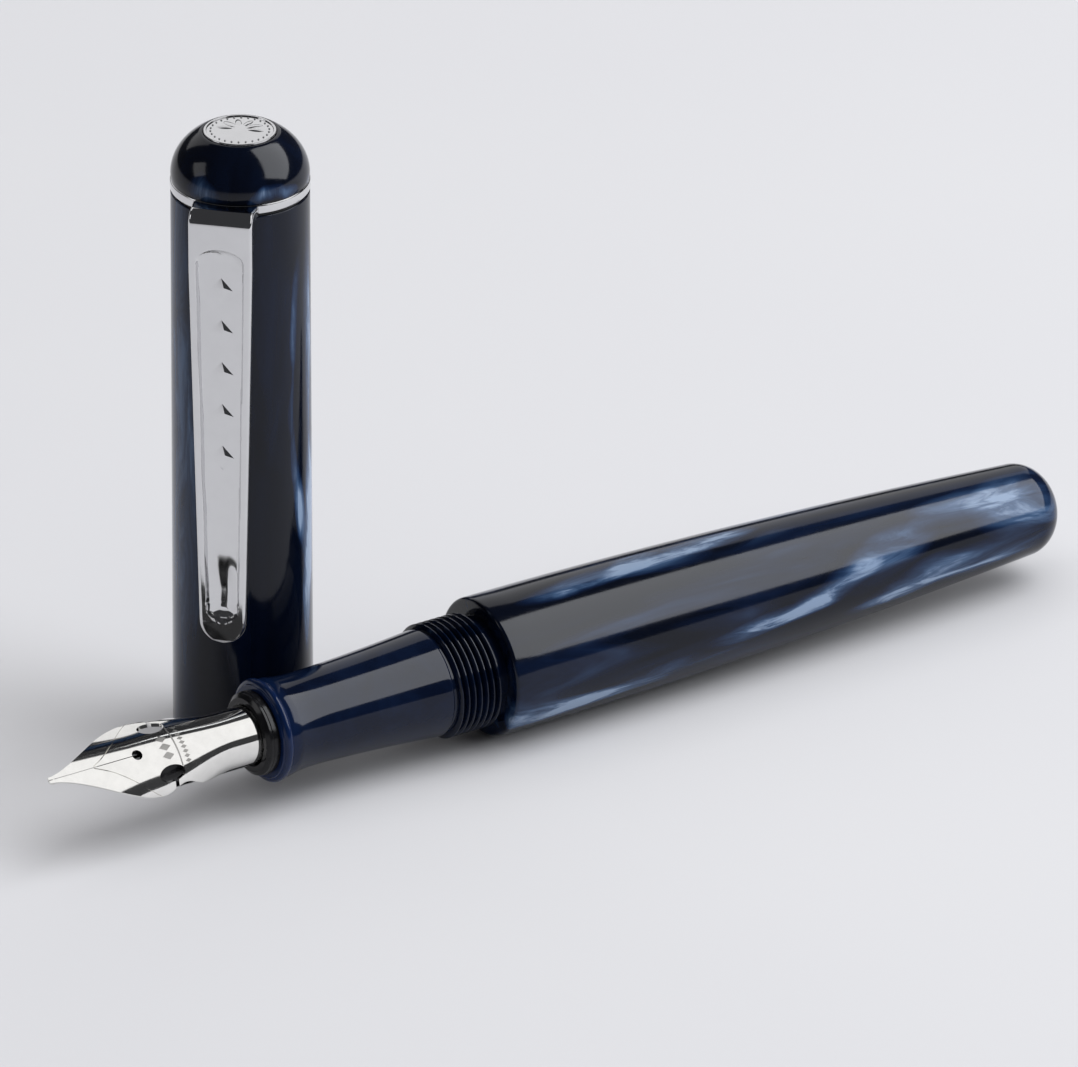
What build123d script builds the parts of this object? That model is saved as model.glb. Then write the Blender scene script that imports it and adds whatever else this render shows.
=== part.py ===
"""Fountain pen with its screw cap off: the pen lies on its barrel, the cap stands on its mouth behind the grip.

All sizes are millimetres.  +Z is up, the pen's axis runs along X with the nib towards -X,
and the origin is the middle of the whole object's box, at table height.
Pen pieces are drawn with their axis on X and x = 0 at the barrel's front lip.
Cap pieces are drawn with their axis on Z and z = 0 at the cap's mouth.
"""
import os
from math import cos, radians, sqrt

from build123d import *

# ---- clearances -------------------------------------------------------------------------------
RUNNING_FIT = 0.04            # radial gap of a piece that slides or turns in another
SEAT_GAP = 0.02               # gap between pieces that press or screw together
PART_GAP = 0.30               # gap between outer surfaces of pieces that move apart

# ---- barrel -----------------------------------------------------------------------------------
BARREL_LENGTH = 70.7          # front lip to rounded end
BARREL_RADIUS = 7.3           # at the lip
BARREL_STRAIGHT = 11.0        # cylindrical stretch behind the lip
BARREL_KNEE_X = 27.0          # where the taper has set in
BARREL_KNEE_RADIUS = 6.90
BARREL_TAIL_RADIUS = 4.93     # where the rounded end starts
BARREL_END_DEPTH = 4.0        # length of the rounded end
BARREL_BORE_RADIUS = 4.3
BARREL_END_WALL = 6.6
LIP_CHAMFER = 0.35

# ---- joint between section and barrel ---------------------------------------------------------
TENON_LENGTH = 9.4            # screwed part of the section inside the barrel
TENON_RADIUS = 4.72           # root of the thread
TENON_THREAD_HEIGHT = 0.30
TENON_THREAD_PITCH = 1.0
TENON_NECK = 1.7              # plain neck that carries the sealing ring
SEAL_SECTION = 0.55           # thickness of the sealing ring

# ---- section (grip) ---------------------------------------------------------------------------
SECTION_FRONT = 26.5          # front face, ahead of the barrel's lip
SECTION_LIP_RADIUS = 5.42     # flared lip at the front
SECTION_LIP_SETBACK = 0.75    # from the front face to the lip's largest circle
SECTION_MOUTH_RADIUS = 5.0    # outer radius of the front face
SECTION_WAIST_RADIUS = 4.82
SECTION_WAIST_BACK = 5.6      # from the front face to the waist
SECTION_SWELL_RADIUS = 5.12
SECTION_SWELL_BACK = 12.8     # from the front face to the middle of the grip
SECTION_GRIP_RADIUS = 5.64    # just ahead of the cap thread
SECTION_REAR_BORE = 4.0

# ---- cap thread on the section ----------------------------------------------------------------
CAP_THREAD_PITCH = 0.75
CAP_THREAD_TURNS = 7.0
CAP_THREAD_HEIGHT = 0.36
CAP_THREAD_CORE = 5.72
CAP_THREAD_RELIEF = 0.75      # plain groove between the thread and the barrel's lip

# ---- nib unit ---------------------------------------------------------------------------------
NIB_ROLL = 36.5               # turn of the nib's ridge from straight up towards -Y, degrees
NIB_EXPOSED = 24.3            # housing to tip
NIB_TUCKED = 9.5              # length inside the housing
NIB_RADIUS = 3.08             # outside of the tucked tube
NIB_THICKNESS = 0.34
NIB_WRAP = 95.0               # the tube reaches this far each side of the ridge, degrees
NIB_SHOULDER_BACK = 12.2      # housing to shoulders
NIB_SHOULDER_WIDTH = 8.7
NIB_SHOULDER_RADIUS = 5.9     # curvature across the shoulders
NIB_TIP_WIDTH = 0.66
NIB_TIP_DEPTH = 1.08          # from the ridge down to the edge near the tip
NIB_SHOULDER_DEPTH = 2.18     # from the ridge down to the edge at the shoulders
NIB_FLANK_DEPTH = 2.53        # from the ridge down to the edge just behind them
NIB_TUBE = 4.0                # plain tube ahead of the housing
NIB_TIP_RADIUS = 9.0          # curvature across the tip
NIB_HOLE_BACK = 14.0          # housing to breather hole
NIB_HOLE_RADIUS = 0.56
NIB_SLIT = 0.10
NIB_PELLET_RADIUS = 0.42
SIDE_HOLE_BACK = 10.9         # housing to the side cut's eye
SIDE_HOLE_LENGTH = 3.0
SIDE_HOLE_WIDTH = 1.5
SIDE_HOLE_ANGLE = 57.0        # from the ridge, degrees
SIDE_SLOT = 0.42
SIDE_SLOT_BACK = 0.35         # the slot's place, ahead of the eye's middle
SIDE_HOLE_HEIGHT = 0.6        # the height above the pen's axis that the side cut is turned about

FEED_CLEAR_TIP = 6.2          # the feed stops this far short of the tip
FEED_FIN_PITCH = 0.85
FEED_FIN_GAP = 0.34
FEED_FINS = 9
FEED_FIN_FIRST = 0.9          # from the housing to the middle of the first gap
FEED_FIN_TOP = 0.7            # the gaps reach this far below the axis
FEED_NOSE_DEPTH = 0.72        # thickness of the feed's nose
FEED_CHIN_DEPTH = 1.62        # from the nib down to the feed's chin, behind the nose
FEED_THROAT = 1.7             # depth of the feed below the axis at its front
FEED_CHANNEL = 0.3            # width of the ink channel under the slit
FEED_OVERRUN = 1.2            # the feed's tail, behind the nib's

HOUSING_FLANGE_RADIUS = 4.38
HOUSING_FLANGE = 1.4          # how far the flange stands ahead of the section
HOUSING_RADIUS = 3.74
HOUSING_BODY = 12.0           # length inside the section
HOUSING_GROOVE_BACK = 9.6     # flange to the seal's groove
NIPPLE_RADIUS = 2.25          # pierces the converter's mouth
NIPPLE_LENGTH = 6.0
NIPPLE_BORE = 0.9

# ---- converter --------------------------------------------------------------------------------
CONVERTER_MOUTH = 8.0
RESERVOIR_LENGTH = 30.0
RESERVOIR_RADIUS = 3.45
RESERVOIR_WALL = 0.5
RESERVOIR_SEAT = 2.5          # reservoir tucked into the mouth piece and into the collar
COLLAR_LENGTH = 12.0
COLLAR_WALL = 0.15
GUIDE_LENGTH = 3.0
KNOB_LENGTH = 15.0
KNOB_RADIUS = 3.5
KNOB_BUTTON_INSET = 0.9       # rim of the knob round its end button
KNOB_BUTTON_DEPTH = 0.4
KNOB_RIB_WIDTH = 0.34
KNOB_PLAIN_END = 1.2          # plain rim at each end of the ribs
KNOB_GAP = 0.1                # between the knob and what it turns against
KNOB_RIBS = 24
KNOB_RIB_DEPTH = 0.18
KNOB_CAP = 1.6
PISTON_TRAVEL = 18.0
PISTON_ROD_RADIUS = 1.15
PISTON_THREAD_HEIGHT = 0.3
PISTON_THREAD_PITCH = 3.0
PISTON_SEAL_LENGTH = 2.6
PISTON_NECK_RADIUS = 0.8      # carries the seal
PISTON_FLANGE_INSET = 0.75    # flange's rim to the reservoir's wall
PISTON_FLANGE = 0.8
PISTON_GAP = 0.6              # between the seal and the reservoir's front end
PISTON_LIP_RELIEF = 0.35      # how far the seal is waisted between its two lips

# ---- cap --------------------------------------------------------------------------------------
CAP_AXIS_X = -19.3            # cap's place, from the barrel's lip and the pen's axis
CAP_AXIS_Y = 14.4
CAP_TUBE_LENGTH = 60.2
CAP_MOUTH_RADIUS = 7.18
CAP_TOP_RADIUS = 7.0
CAP_TOP_WALL = 3.4
CAP_BORE_RADIUS = 5.85
INNER_CAP_START = 26.8
INNER_CAP_RADIUS = 4.85       # inside of the inner cap
INNER_CAP_CROWN = 1.2

WASHER_THICKNESS = 0.3
WASHER_INSET = 0.18
CLIP_RING_HEIGHT = 1.0
CLIP_RING_PROUD = 0.05
STUD_RADIUS = 1.5
STUD_THREAD_HEIGHT = 0.22
STUD_THREAD_PITCH = 0.7
STUD_IN_DOME = 3.0

DOME_HEIGHT = 4.95            # seat on the clip ring to its flat top
DOME_BELT = 0.55              # nearly straight belt at the dome's foot
DOME_CROWN = 5.45             # half height of the dome's ellipse
MEDALLION_RADIUS = 3.36
MEDALLION_CROWN = 0.42
BEZEL_WIDTH = 0.3
BEZEL_HEIGHT = 0.75

# ---- clip -------------------------------------------------------------------------------------
CLIP_HEADING = -135.0         # where the clip stands round the cap, degrees from +X
CLIP_LENGTH = 46.9            # below the ring's lower edge
CLIP_TOP_WIDTH = 6.5
CLIP_END_WIDTH = 4.8
CLIP_THICKNESS = 1.1
CLIP_PIVOT_RADIUS = CLIP_THICKNESS / 2    # rounded root of the arm
CLIP_STANDOFF = 1.15          # gap to the cap under the head
CLIP_END_STANDOFF = 0.75      # gap to the cap at the end
CLIP_BORDER = 0.85
CLIP_PANEL_DEPTH = 0.32
CLIP_PANEL_TOP = 2.8          # below the ring's lower edge
CLIP_PANEL_END = 2.3          # above the clip's end
DIAMOND_COUNT = 5
DIAMOND_FIRST = 7.7           # below the ring's lower edge
DIAMOND_PITCH = 4.65
DIAMOND_WIDTH = 2.7
DIAMOND_HEIGHT = 3.05
DIAMOND_RISE = 0.5
CLIP_FOOT_RADIUS = 1.1
CLIP_FOOT_GAP = 0.15          # the rest that holds cloth stops this short of the cap

# ---- places worked out from the sizes -----------------------------------------------------------
HOUSING_FACE = -SECTION_FRONT - HOUSING_FLANGE
NIB_TIP = HOUSING_FACE - NIB_EXPOSED
CAP_THREAD_LENGTH = CAP_THREAD_PITCH * CAP_THREAD_TURNS
HOUSING_TAIL = -SECTION_FRONT + HOUSING_BODY
RESERVOIR_BORE = RESERVOIR_RADIUS - RESERVOIR_WALL
CONVERTER_RADIUS = RESERVOIR_RADIUS + SEAT_GAP + COLLAR_WALL
CONVERTER_START = HOUSING_TAIL + PART_GAP
RESERVOIR_START = CONVERTER_START + CONVERTER_MOUTH - RESERVOIR_SEAT
RESERVOIR_END = RESERVOIR_START + RESERVOIR_LENGTH
COLLAR_START = RESERVOIR_END - RESERVOIR_SEAT
COLLAR_END = COLLAR_START + COLLAR_LENGTH
RING_FOOT = CAP_TUBE_LENGTH + WASHER_THICKNESS
DOME_FOOT = RING_FOOT + CLIP_RING_HEIGHT
DOME_TOP = DOME_FOOT + DOME_HEIGHT
BELT_RADIUS = CAP_TOP_RADIUS
MEAN_X = (NIB_TIP + BARREL_LENGTH) / 2
MEAN_Y = (CAP_AXIS_Y + CAP_MOUTH_RADIUS - BARREL_RADIUS) / 2

PEN_PLACE = Location((-MEAN_X, -MEAN_Y, BARREL_RADIUS))
NIB_PLACE = PEN_PLACE * Rotation(NIB_ROLL, 0, 0)
CAP_PLACE = Location((CAP_AXIS_X - MEAN_X, CAP_AXIS_Y - MEAN_Y, 0))
CLIP_PLACE = CAP_PLACE * Rotation(0, 0, CLIP_HEADING)
SIDE = Plane.XZ               # drawing plane: along the pen or out from the cap's axis, and up
ALONG_X = Rotation(0, 90, 0)  # turns a piece drawn on Z so that it points along +X


# ---- shared shapes ------------------------------------------------------------------------------
def turned(outline, axis):
    """A solid of revolution from corner points (along, out) or (out, up) in the side plane."""
    face = make_face(SIDE * Polyline(*outline, close=True))
    return revolve(face, axis)


def rod(start, end, radius):
    """A plain rod along X."""
    upright = Cylinder(radius, end - start, align=(Align.CENTER, Align.CENTER, Align.MIN))
    return Pos(start, 0, 0) * ALONG_X * upright


def pipe(start, end, outer, inner):
    """A plain tube along X."""
    return rod(start, end, outer) - rod(start - 1, end + 1, inner)


def ring(section, radius):
    """A round sealing ring about Z."""
    return Torus(radius, section / 2)


def thread_ridge(core, height, pitch, turns):
    """The helical ridge of a thread about Z, from z = 0, sunk a little into the core that it is joined to."""
    helix = Helix(pitch=pitch, height=pitch * turns, radius=core)
    start = Plane(origin=helix @ 0, x_dir=(1, 0, 0), z_dir=helix % 0)
    half_root = 0.42 * pitch
    half_crest = 0.10 * pitch
    sunk = 0.12
    profile = Polyline(
        (-sunk, -half_root), (height, -half_crest), (height, half_crest), (-sunk, half_root), close=True
    )
    return sweep(make_face(start * profile), helix, is_frenet=True)


def side_block(outline, width):
    """A plate with the given outline (out, up) in the side plane, centred across it."""
    face = make_face(SIDE * Polyline(*outline, close=True))
    return extrude(face, width / 2, both=True)


# ---- barrel ---------------------------------------------------------------------------------------
def barrel():
    tail = BARREL_LENGTH - BARREL_END_DEPTH
    straight = Line((LIP_CHAMFER, BARREL_RADIUS), (BARREL_STRAIGHT, BARREL_RADIUS))
    taper = Spline(
        (BARREL_STRAIGHT, BARREL_RADIUS),
        (BARREL_KNEE_X, BARREL_KNEE_RADIUS),
        (tail, BARREL_TAIL_RADIUS),
        tangents=[(1, 0), (1, -0.045)],
    )
    rounding = EllipticalCenterArc((tail, 0), BARREL_END_DEPTH, BARREL_TAIL_RADIUS, start_angle=0, arc_size=90)
    front = Polyline((BARREL_LENGTH, 0), (0, 0), (0, BARREL_RADIUS - LIP_CHAMFER), (LIP_CHAMFER, BARREL_RADIUS))
    outline = Wire([*straight.edges(), *taper.edges(), *rounding.edges(), *front.edges()])
    body = revolve(make_face(SIDE * outline), Axis.X)
    thread_bore = TENON_RADIUS + TENON_THREAD_HEIGHT + RUNNING_FIT
    thread_end = TENON_LENGTH + 0.6
    bore_end = BARREL_LENGTH - BARREL_END_WALL
    hollow = turned(
        [
            (-1, 0),
            (-1, thread_bore),
            (thread_end, thread_bore),
            (thread_end + 0.6, BARREL_BORE_RADIUS),
            (bore_end - 1.5, BARREL_BORE_RADIUS),
            (bore_end, BARREL_BORE_RADIUS - 1.5),
            (bore_end, 0),
        ],
        Axis.X,
    )
    return body - hollow


# ---- section ---------------------------------------------------------------------------------------
def section():
    front = -SECTION_FRONT
    lip = front + SECTION_LIP_SETBACK
    waist = front + SECTION_WAIST_BACK
    thread_start = -CAP_THREAD_LENGTH - CAP_THREAD_RELIEF - 0.6
    bead_radius = SECTION_MOUTH_RADIUS + 0.72 * (SECTION_LIP_RADIUS - SECTION_MOUTH_RADIUS)
    bead = ThreePointArc(
        (front, SECTION_MOUTH_RADIUS),
        (front + 0.25 * SECTION_LIP_SETBACK, bead_radius),
        (lip, SECTION_LIP_RADIUS),
    )
    grip = Spline(
        (lip, SECTION_LIP_RADIUS),
        (waist, SECTION_WAIST_RADIUS),
        (front + SECTION_SWELL_BACK, SECTION_SWELL_RADIUS),
        (thread_start, SECTION_GRIP_RADIUS),
        tangents=[(1, 0), (1, 0.06)],
    )
    rear = Polyline(
        (thread_start, SECTION_GRIP_RADIUS),
        (thread_start + 0.3, CAP_THREAD_CORE),
        (0, CAP_THREAD_CORE),
        (0, TENON_RADIUS - SEAL_SECTION / 2),
        (TENON_NECK, TENON_RADIUS - SEAL_SECTION / 2),
        (TENON_NECK, TENON_RADIUS),
        (TENON_LENGTH, TENON_RADIUS),
        (TENON_LENGTH, 0),
        (front, 0),
        (front, SECTION_MOUTH_RADIUS),
    )
    body = revolve(make_face(SIDE * Wire([*bead.edges(), *grip.edges(), *rear.edges()])), Axis.X)
    cap_thread = thread_ridge(CAP_THREAD_CORE, CAP_THREAD_HEIGHT, CAP_THREAD_PITCH, CAP_THREAD_TURNS)
    body += Pos(-CAP_THREAD_LENGTH - CAP_THREAD_RELIEF, 0, 0) * ALONG_X * cap_thread
    tenon_turns = (TENON_LENGTH - TENON_NECK) / TENON_THREAD_PITCH - 1.2
    tenon_thread = thread_ridge(TENON_RADIUS, TENON_THREAD_HEIGHT, TENON_THREAD_PITCH, tenon_turns)
    body += Pos(TENON_NECK + 0.6 * TENON_THREAD_PITCH, 0, 0) * ALONG_X * tenon_thread
    body -= rod(front - 1, HOUSING_TAIL + 0.15, HOUSING_RADIUS + RUNNING_FIT)
    body -= rod(HOUSING_TAIL + 0.1, TENON_LENGTH + 1, SECTION_REAR_BORE)
    return body


def barrel_seal():
    seat = TENON_RADIUS - SEAL_SECTION / 2
    return Pos(TENON_NECK / 2, 0, 0) * ALONG_X * ring(SEAL_SECTION, seat + SEAL_SECTION / 2 + SEAT_GAP)


# ---- nib unit ----------------------------------------------------------------------------------------
def nib_horn():
    """The closed horn that the nib's metal is cut from: its ridge is straight, its curve opens forward."""
    shoulder = HOUSING_FACE - NIB_SHOULDER_BACK
    stations = [
        (HOUSING_FACE + NIB_TUCKED, NIB_RADIUS),
        (HOUSING_FACE - NIB_TUBE, NIB_RADIUS),
        (shoulder + 3.0, 0.45 * NIB_RADIUS + 0.55 * NIB_SHOULDER_RADIUS),
        (shoulder - 1.0, NIB_SHOULDER_RADIUS),
        (NIB_TIP - 0.5, NIB_TIP_RADIUS),
    ]
    sections = []
    for x, radius in stations:
        plane = Plane(origin=(x, 0, NIB_RADIUS - radius), x_dir=(0, 1, 0), z_dir=(-1, 0, 0))
        sections.append(plane * Circle(radius))
    return loft(sections, ruled=True)


def nib_plan():
    """The nib's outline seen square on, as a block."""
    tip_half = NIB_TIP_WIDTH / 2
    shoulder_half = NIB_SHOULDER_WIDTH / 2
    shoulder = HOUSING_FACE - NIB_SHOULDER_BACK
    wide = NIB_RADIUS + 0.5
    front = NIB_TIP + NIB_PELLET_RADIUS
    flank = Spline(
        (front, tip_half),
        (front + 0.42 * (NIB_EXPOSED - NIB_SHOULDER_BACK), 0.52 * shoulder_half),
        (shoulder, shoulder_half),
        (shoulder + 3.4, NIB_RADIUS + 0.42),
        (shoulder + 6.0, NIB_RADIUS + 0.2),
        tangents=[(1, 0.35), (1, 0)],
    )
    tail = HOUSING_FACE + NIB_TUCKED
    edge = Polyline(
        (shoulder + 6.0, NIB_RADIUS + 0.2),
        (shoulder + 6.5, wide),
        (tail, wide),
        (tail, 0),
        (front, 0),
        (front, tip_half),
    )
    half = make_face(Wire([*flank.edges(), *edge.edges()]))
    whole = half + mirror(half, Plane.XZ)
    return extrude(whole, 12, both=True)


def nib():
    tail = HOUSING_FACE + NIB_TUCKED
    metal = nib_horn() - Pos(0, 0, -NIB_THICKNESS) * nib_horn()
    metal &= nib_plan()
    hem = NIB_RADIUS * cos(radians(NIB_WRAP))
    shoulder = HOUSING_FACE - NIB_SHOULDER_BACK
    above = NIB_RADIUS + 5
    metal &= side_block(
        [
            (tail + 1, hem),
            (HOUSING_FACE - NIB_TUBE, hem),
            (shoulder + 2, NIB_RADIUS - NIB_FLANK_DEPTH),
            (shoulder, NIB_RADIUS - NIB_SHOULDER_DEPTH),
            (NIB_TIP - 1, NIB_RADIUS - NIB_TIP_DEPTH),
            (NIB_TIP - 1, above),
            (tail + 1, above),
        ],
        20,
    )
    hole_x = HOUSING_FACE - NIB_HOLE_BACK
    metal -= Pos(hole_x, 0, 0) * Cylinder(NIB_HOLE_RADIUS, 20)
    slit_length = hole_x - NIB_TIP + 1       # runs out past the tip
    metal -= Pos(hole_x - slit_length / 2, 0, 0) * Box(slit_length, NIB_SLIT, 20)
    eye = extrude(Ellipse(SIDE_HOLE_LENGTH / 2, SIDE_HOLE_WIDTH / 2), 12)
    eye += Pos(-SIDE_SLOT_BACK, -6, 6) * Box(SIDE_SLOT, 12, 12)
    for mirrored in (1, -1):
        place = Pos(HOUSING_FACE - SIDE_HOLE_BACK, 0, SIDE_HOLE_HEIGHT)
        cutter = place * Rotation(mirrored * SIDE_HOLE_ANGLE, 0, 0)
        metal -= cutter * (eye if mirrored == 1 else mirror(eye, Plane.XZ))
    pellet = Pos(NIB_TIP + NIB_PELLET_RADIUS, 0, NIB_RADIUS - NIB_PELLET_RADIUS) * Sphere(NIB_PELLET_RADIUS)
    return metal + pellet


def feed():
    tail = HOUSING_FACE + NIB_TUCKED + FEED_OVERRUN
    nose = NIB_TIP + FEED_CLEAR_TIP
    under_nib = NIB_RADIUS - NIB_THICKNESS - SEAT_GAP
    upper = rod(nose, tail, under_nib)
    lower = rod(nose, tail, NIB_RADIUS - SEAT_GAP)
    lower &= Pos((nose + tail) / 2, 0, -6 - 0.45) * Box(tail - nose + 2, 12, 12)
    body = upper + lower
    side = side_block(
        [
            (tail + 1, 5),
            (tail + 1, -5),
            (HOUSING_FACE - 7.5, -5),
            (HOUSING_FACE - 8.6, -FEED_THROAT),
            (nose + 2.2, under_nib - FEED_CHIN_DEPTH),
            (nose - 0.1, under_nib - FEED_NOSE_DEPTH),
            (nose - 0.1, under_nib - 0.3),
            (nose + 3.0, under_nib + 0.5),
        ],
        12,
    )
    body &= side
    for fin in range(FEED_FINS):
        x = HOUSING_FACE - FEED_FIN_FIRST - FEED_FIN_PITCH * fin
        body -= Pos(x, 0, -5 - FEED_FIN_TOP) * Box(FEED_FIN_GAP, 12, 10)
    body -= Pos((nose + tail) / 2, 0, under_nib) * Box(tail - nose + 2, FEED_CHANNEL, 1.2)
    return body


def nib_housing():
    face = HOUSING_FACE
    seat = -SECTION_FRONT
    bore = NIB_RADIUS + SEAT_GAP
    chamfer = 0.55
    groove_start = seat + HOUSING_GROOVE_BACK
    groove_end = groove_start + SEAL_SECTION + 0.15
    groove_floor = HOUSING_RADIUS - SEAL_SECTION / 2
    nipple_end = HOUSING_TAIL + NIPPLE_LENGTH
    bore_end = HOUSING_FACE + NIB_TUCKED + FEED_OVERRUN + 0.4
    return turned(
        [
            (face, bore),
            (face, HOUSING_FLANGE_RADIUS - chamfer),
            (face + chamfer, HOUSING_FLANGE_RADIUS),
            (seat - SEAT_GAP, HOUSING_FLANGE_RADIUS),
            (seat - SEAT_GAP, HOUSING_RADIUS),
            (groove_start, HOUSING_RADIUS),
            (groove_start, groove_floor),
            (groove_end, groove_floor),
            (groove_end, HOUSING_RADIUS),
            (HOUSING_TAIL, HOUSING_RADIUS),
            (HOUSING_TAIL, NIPPLE_RADIUS),
            (nipple_end - 0.4, NIPPLE_RADIUS),
            (nipple_end, NIPPLE_RADIUS - 0.4),
            (nipple_end, NIPPLE_BORE),
            (bore_end, NIPPLE_BORE),
            (bore_end, bore),
        ],
        Axis.X,
    )


def housing_seal():
    floor = HOUSING_RADIUS - SEAL_SECTION / 2
    middle = -SECTION_FRONT + HOUSING_GROOVE_BACK + (SEAL_SECTION + 0.15) / 2
    band = (HOUSING_RADIUS - floor) / 2 - SEAT_GAP / 2
    return Pos(middle, 0, 0) * ALONG_X * Torus(floor + SEAT_GAP + band, band)


# ---- converter ---------------------------------------------------------------------------------------
def converter_mouth():
    start = CONVERTER_START
    end = start + CONVERTER_MOUTH
    seat = end - RESERVOIR_SEAT
    return turned(
        [
            (start, NIPPLE_RADIUS + RUNNING_FIT),
            (start, CONVERTER_RADIUS - 0.3),
            (start + 0.3, CONVERTER_RADIUS),
            (end, CONVERTER_RADIUS),
            (end, RESERVOIR_RADIUS + SEAT_GAP),
            (seat, RESERVOIR_RADIUS + SEAT_GAP),
            (seat, NIPPLE_RADIUS + RUNNING_FIT),
        ],
        Axis.X,
    )


def converter_reservoir():
    return pipe(RESERVOIR_START + SEAT_GAP, RESERVOIR_END, RESERVOIR_RADIUS, RESERVOIR_BORE)


def converter_guide():
    start = RESERVOIR_END + SEAT_GAP
    hole = PISTON_ROD_RADIUS + PISTON_THREAD_HEIGHT + RUNNING_FIT
    return pipe(start, start + GUIDE_LENGTH, RESERVOIR_RADIUS, hole)


def converter_collar():
    return pipe(COLLAR_START, COLLAR_END, CONVERTER_RADIUS, RESERVOIR_RADIUS + SEAT_GAP)


def knob_bore():
    return PISTON_ROD_RADIUS + PISTON_THREAD_HEIGHT + RUNNING_FIT


def converter_knob():
    shank_start = RESERVOIR_END + GUIDE_LENGTH + KNOB_GAP
    grip_start = COLLAR_END + KNOB_GAP
    grip_end = grip_start + KNOB_LENGTH
    shank = RESERVOIR_RADIUS - RUNNING_FIT
    body = turned(
        [
            (shank_start, 0),
            (shank_start, shank),
            (grip_start, shank),
            (grip_start, KNOB_RADIUS),
            (grip_end, KNOB_RADIUS),
            (grip_end, 0),
        ],
        Axis.X,
    )
    for rib in range(KNOB_RIBS):
        blade = Box(KNOB_LENGTH - 2 * KNOB_PLAIN_END, KNOB_RIB_WIDTH, 2 * KNOB_RIB_DEPTH)
        groove = Pos((grip_start + grip_end) / 2, 0, KNOB_RADIUS) * blade
        body -= Rotation(360 * rib / KNOB_RIBS, 0, 0) * groove
    body -= rod(shank_start - 1, grip_end - 2 * KNOB_BUTTON_DEPTH, knob_bore())
    return body - rod(grip_end - KNOB_BUTTON_DEPTH, grip_end + 1, KNOB_RADIUS - KNOB_BUTTON_INSET)


def knob_button():
    start = COLLAR_END + KNOB_GAP + KNOB_LENGTH - KNOB_BUTTON_DEPTH + SEAT_GAP
    end = start + KNOB_CAP
    radius = KNOB_RADIUS - KNOB_BUTTON_INSET - SEAT_GAP
    return turned([(start, 0), (start, radius), (end - 0.5, radius), (end, radius - 0.5), (end, 0)], Axis.X)


def piston_start():
    return RESERVOIR_START + PISTON_GAP


def piston_rod():
    head = piston_start() + 0.5
    shoulder = piston_start() + PISTON_SEAL_LENGTH + 0.1
    end = COLLAR_END + KNOB_LENGTH - PISTON_TRAVEL - 1.6
    neck = rod(head, shoulder, PISTON_NECK_RADIUS)
    flange = rod(shoulder, shoulder + PISTON_FLANGE, RESERVOIR_BORE - PISTON_FLANGE_INSET)
    shank = rod(shoulder + PISTON_FLANGE / 2, end, PISTON_ROD_RADIUS)
    thread_start = shoulder + PISTON_FLANGE + 1.3
    turns = (end - thread_start - PART_GAP) / PISTON_THREAD_PITCH
    thread = thread_ridge(PISTON_ROD_RADIUS, PISTON_THREAD_HEIGHT, PISTON_THREAD_PITCH, turns)
    return neck + flange + shank + Pos(thread_start, 0, 0) * ALONG_X * thread


def piston_seal():
    start = piston_start()
    end = start + PISTON_SEAL_LENGTH
    rim = RESERVOIR_BORE - SEAT_GAP
    waist = rim - PISTON_LIP_RELIEF
    hole = PISTON_NECK_RADIUS + SEAT_GAP
    floor = start + 0.5 - SEAT_GAP
    return turned(
        [
            (start, 0),
            (start, rim - 0.5),
            (start + 0.4, rim),
            (start + 0.8, rim),
            (start + 1.1, waist),
            (end - 1.1, waist),
            (end - 0.8, rim),
            (end, rim),
            (end, hole),
            (floor, hole),
            (floor, 0),
        ],
        Axis.X,
    )


# ---- cap ---------------------------------------------------------------------------------------------
def cap_tube():
    thread_bore = CAP_THREAD_CORE + CAP_THREAD_HEIGHT + RUNNING_FIT + 0.06
    thread_end = CAP_THREAD_LENGTH + CAP_THREAD_RELIEF + 1.2
    inner_seat = CAP_BORE_RADIUS
    top = CAP_TUBE_LENGTH
    body = turned(
        [
            (thread_bore + 0.25, 0),
            (CAP_MOUTH_RADIUS - 0.25, 0),
            (CAP_MOUTH_RADIUS, 0.25),
            (CAP_TOP_RADIUS, top),
            (STUD_RADIUS + STUD_THREAD_HEIGHT + RUNNING_FIT, top),
            (STUD_RADIUS + STUD_THREAD_HEIGHT + RUNNING_FIT, top - CAP_TOP_WALL),
            (inner_seat, top - CAP_TOP_WALL),
            (inner_seat, thread_end + 0.4),
            (thread_bore, thread_end),
            (thread_bore, 0.25),
        ],
        Axis.Z,
    )
    return body


def inner_cap():
    outer = CAP_BORE_RADIUS - SEAT_GAP
    crown = CAP_TUBE_LENGTH - CAP_TOP_WALL - SEAT_GAP
    roof = crown - INNER_CAP_CROWN
    return turned(
        [
            (INNER_CAP_RADIUS + 0.35, INNER_CAP_START),
            (outer, INNER_CAP_START),
            (outer, crown),
            (STUD_RADIUS + STUD_THREAD_HEIGHT + RUNNING_FIT, crown),
            (STUD_RADIUS + STUD_THREAD_HEIGHT + RUNNING_FIT, roof),
            (INNER_CAP_RADIUS, roof),
            (INNER_CAP_RADIUS, INNER_CAP_START + 0.35),
        ],
        Axis.Z,
    )


def clip_washer():
    hole = STUD_RADIUS + STUD_THREAD_HEIGHT + RUNNING_FIT
    return turned(
        [
            (hole, CAP_TUBE_LENGTH),
            (CAP_TOP_RADIUS - WASHER_INSET, CAP_TUBE_LENGTH),
            (CAP_TOP_RADIUS - WASHER_INSET, RING_FOOT),
            (hole, RING_FOOT),
        ],
        Axis.Z,
    )


def clip_pivot():
    """Radius from the cap's axis and height of the line that the clip's arm flexes about."""
    out = CAP_TOP_RADIUS + CLIP_STANDOFF + CLIP_THICKNESS / 2
    return out, RING_FOOT + 0.05


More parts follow.
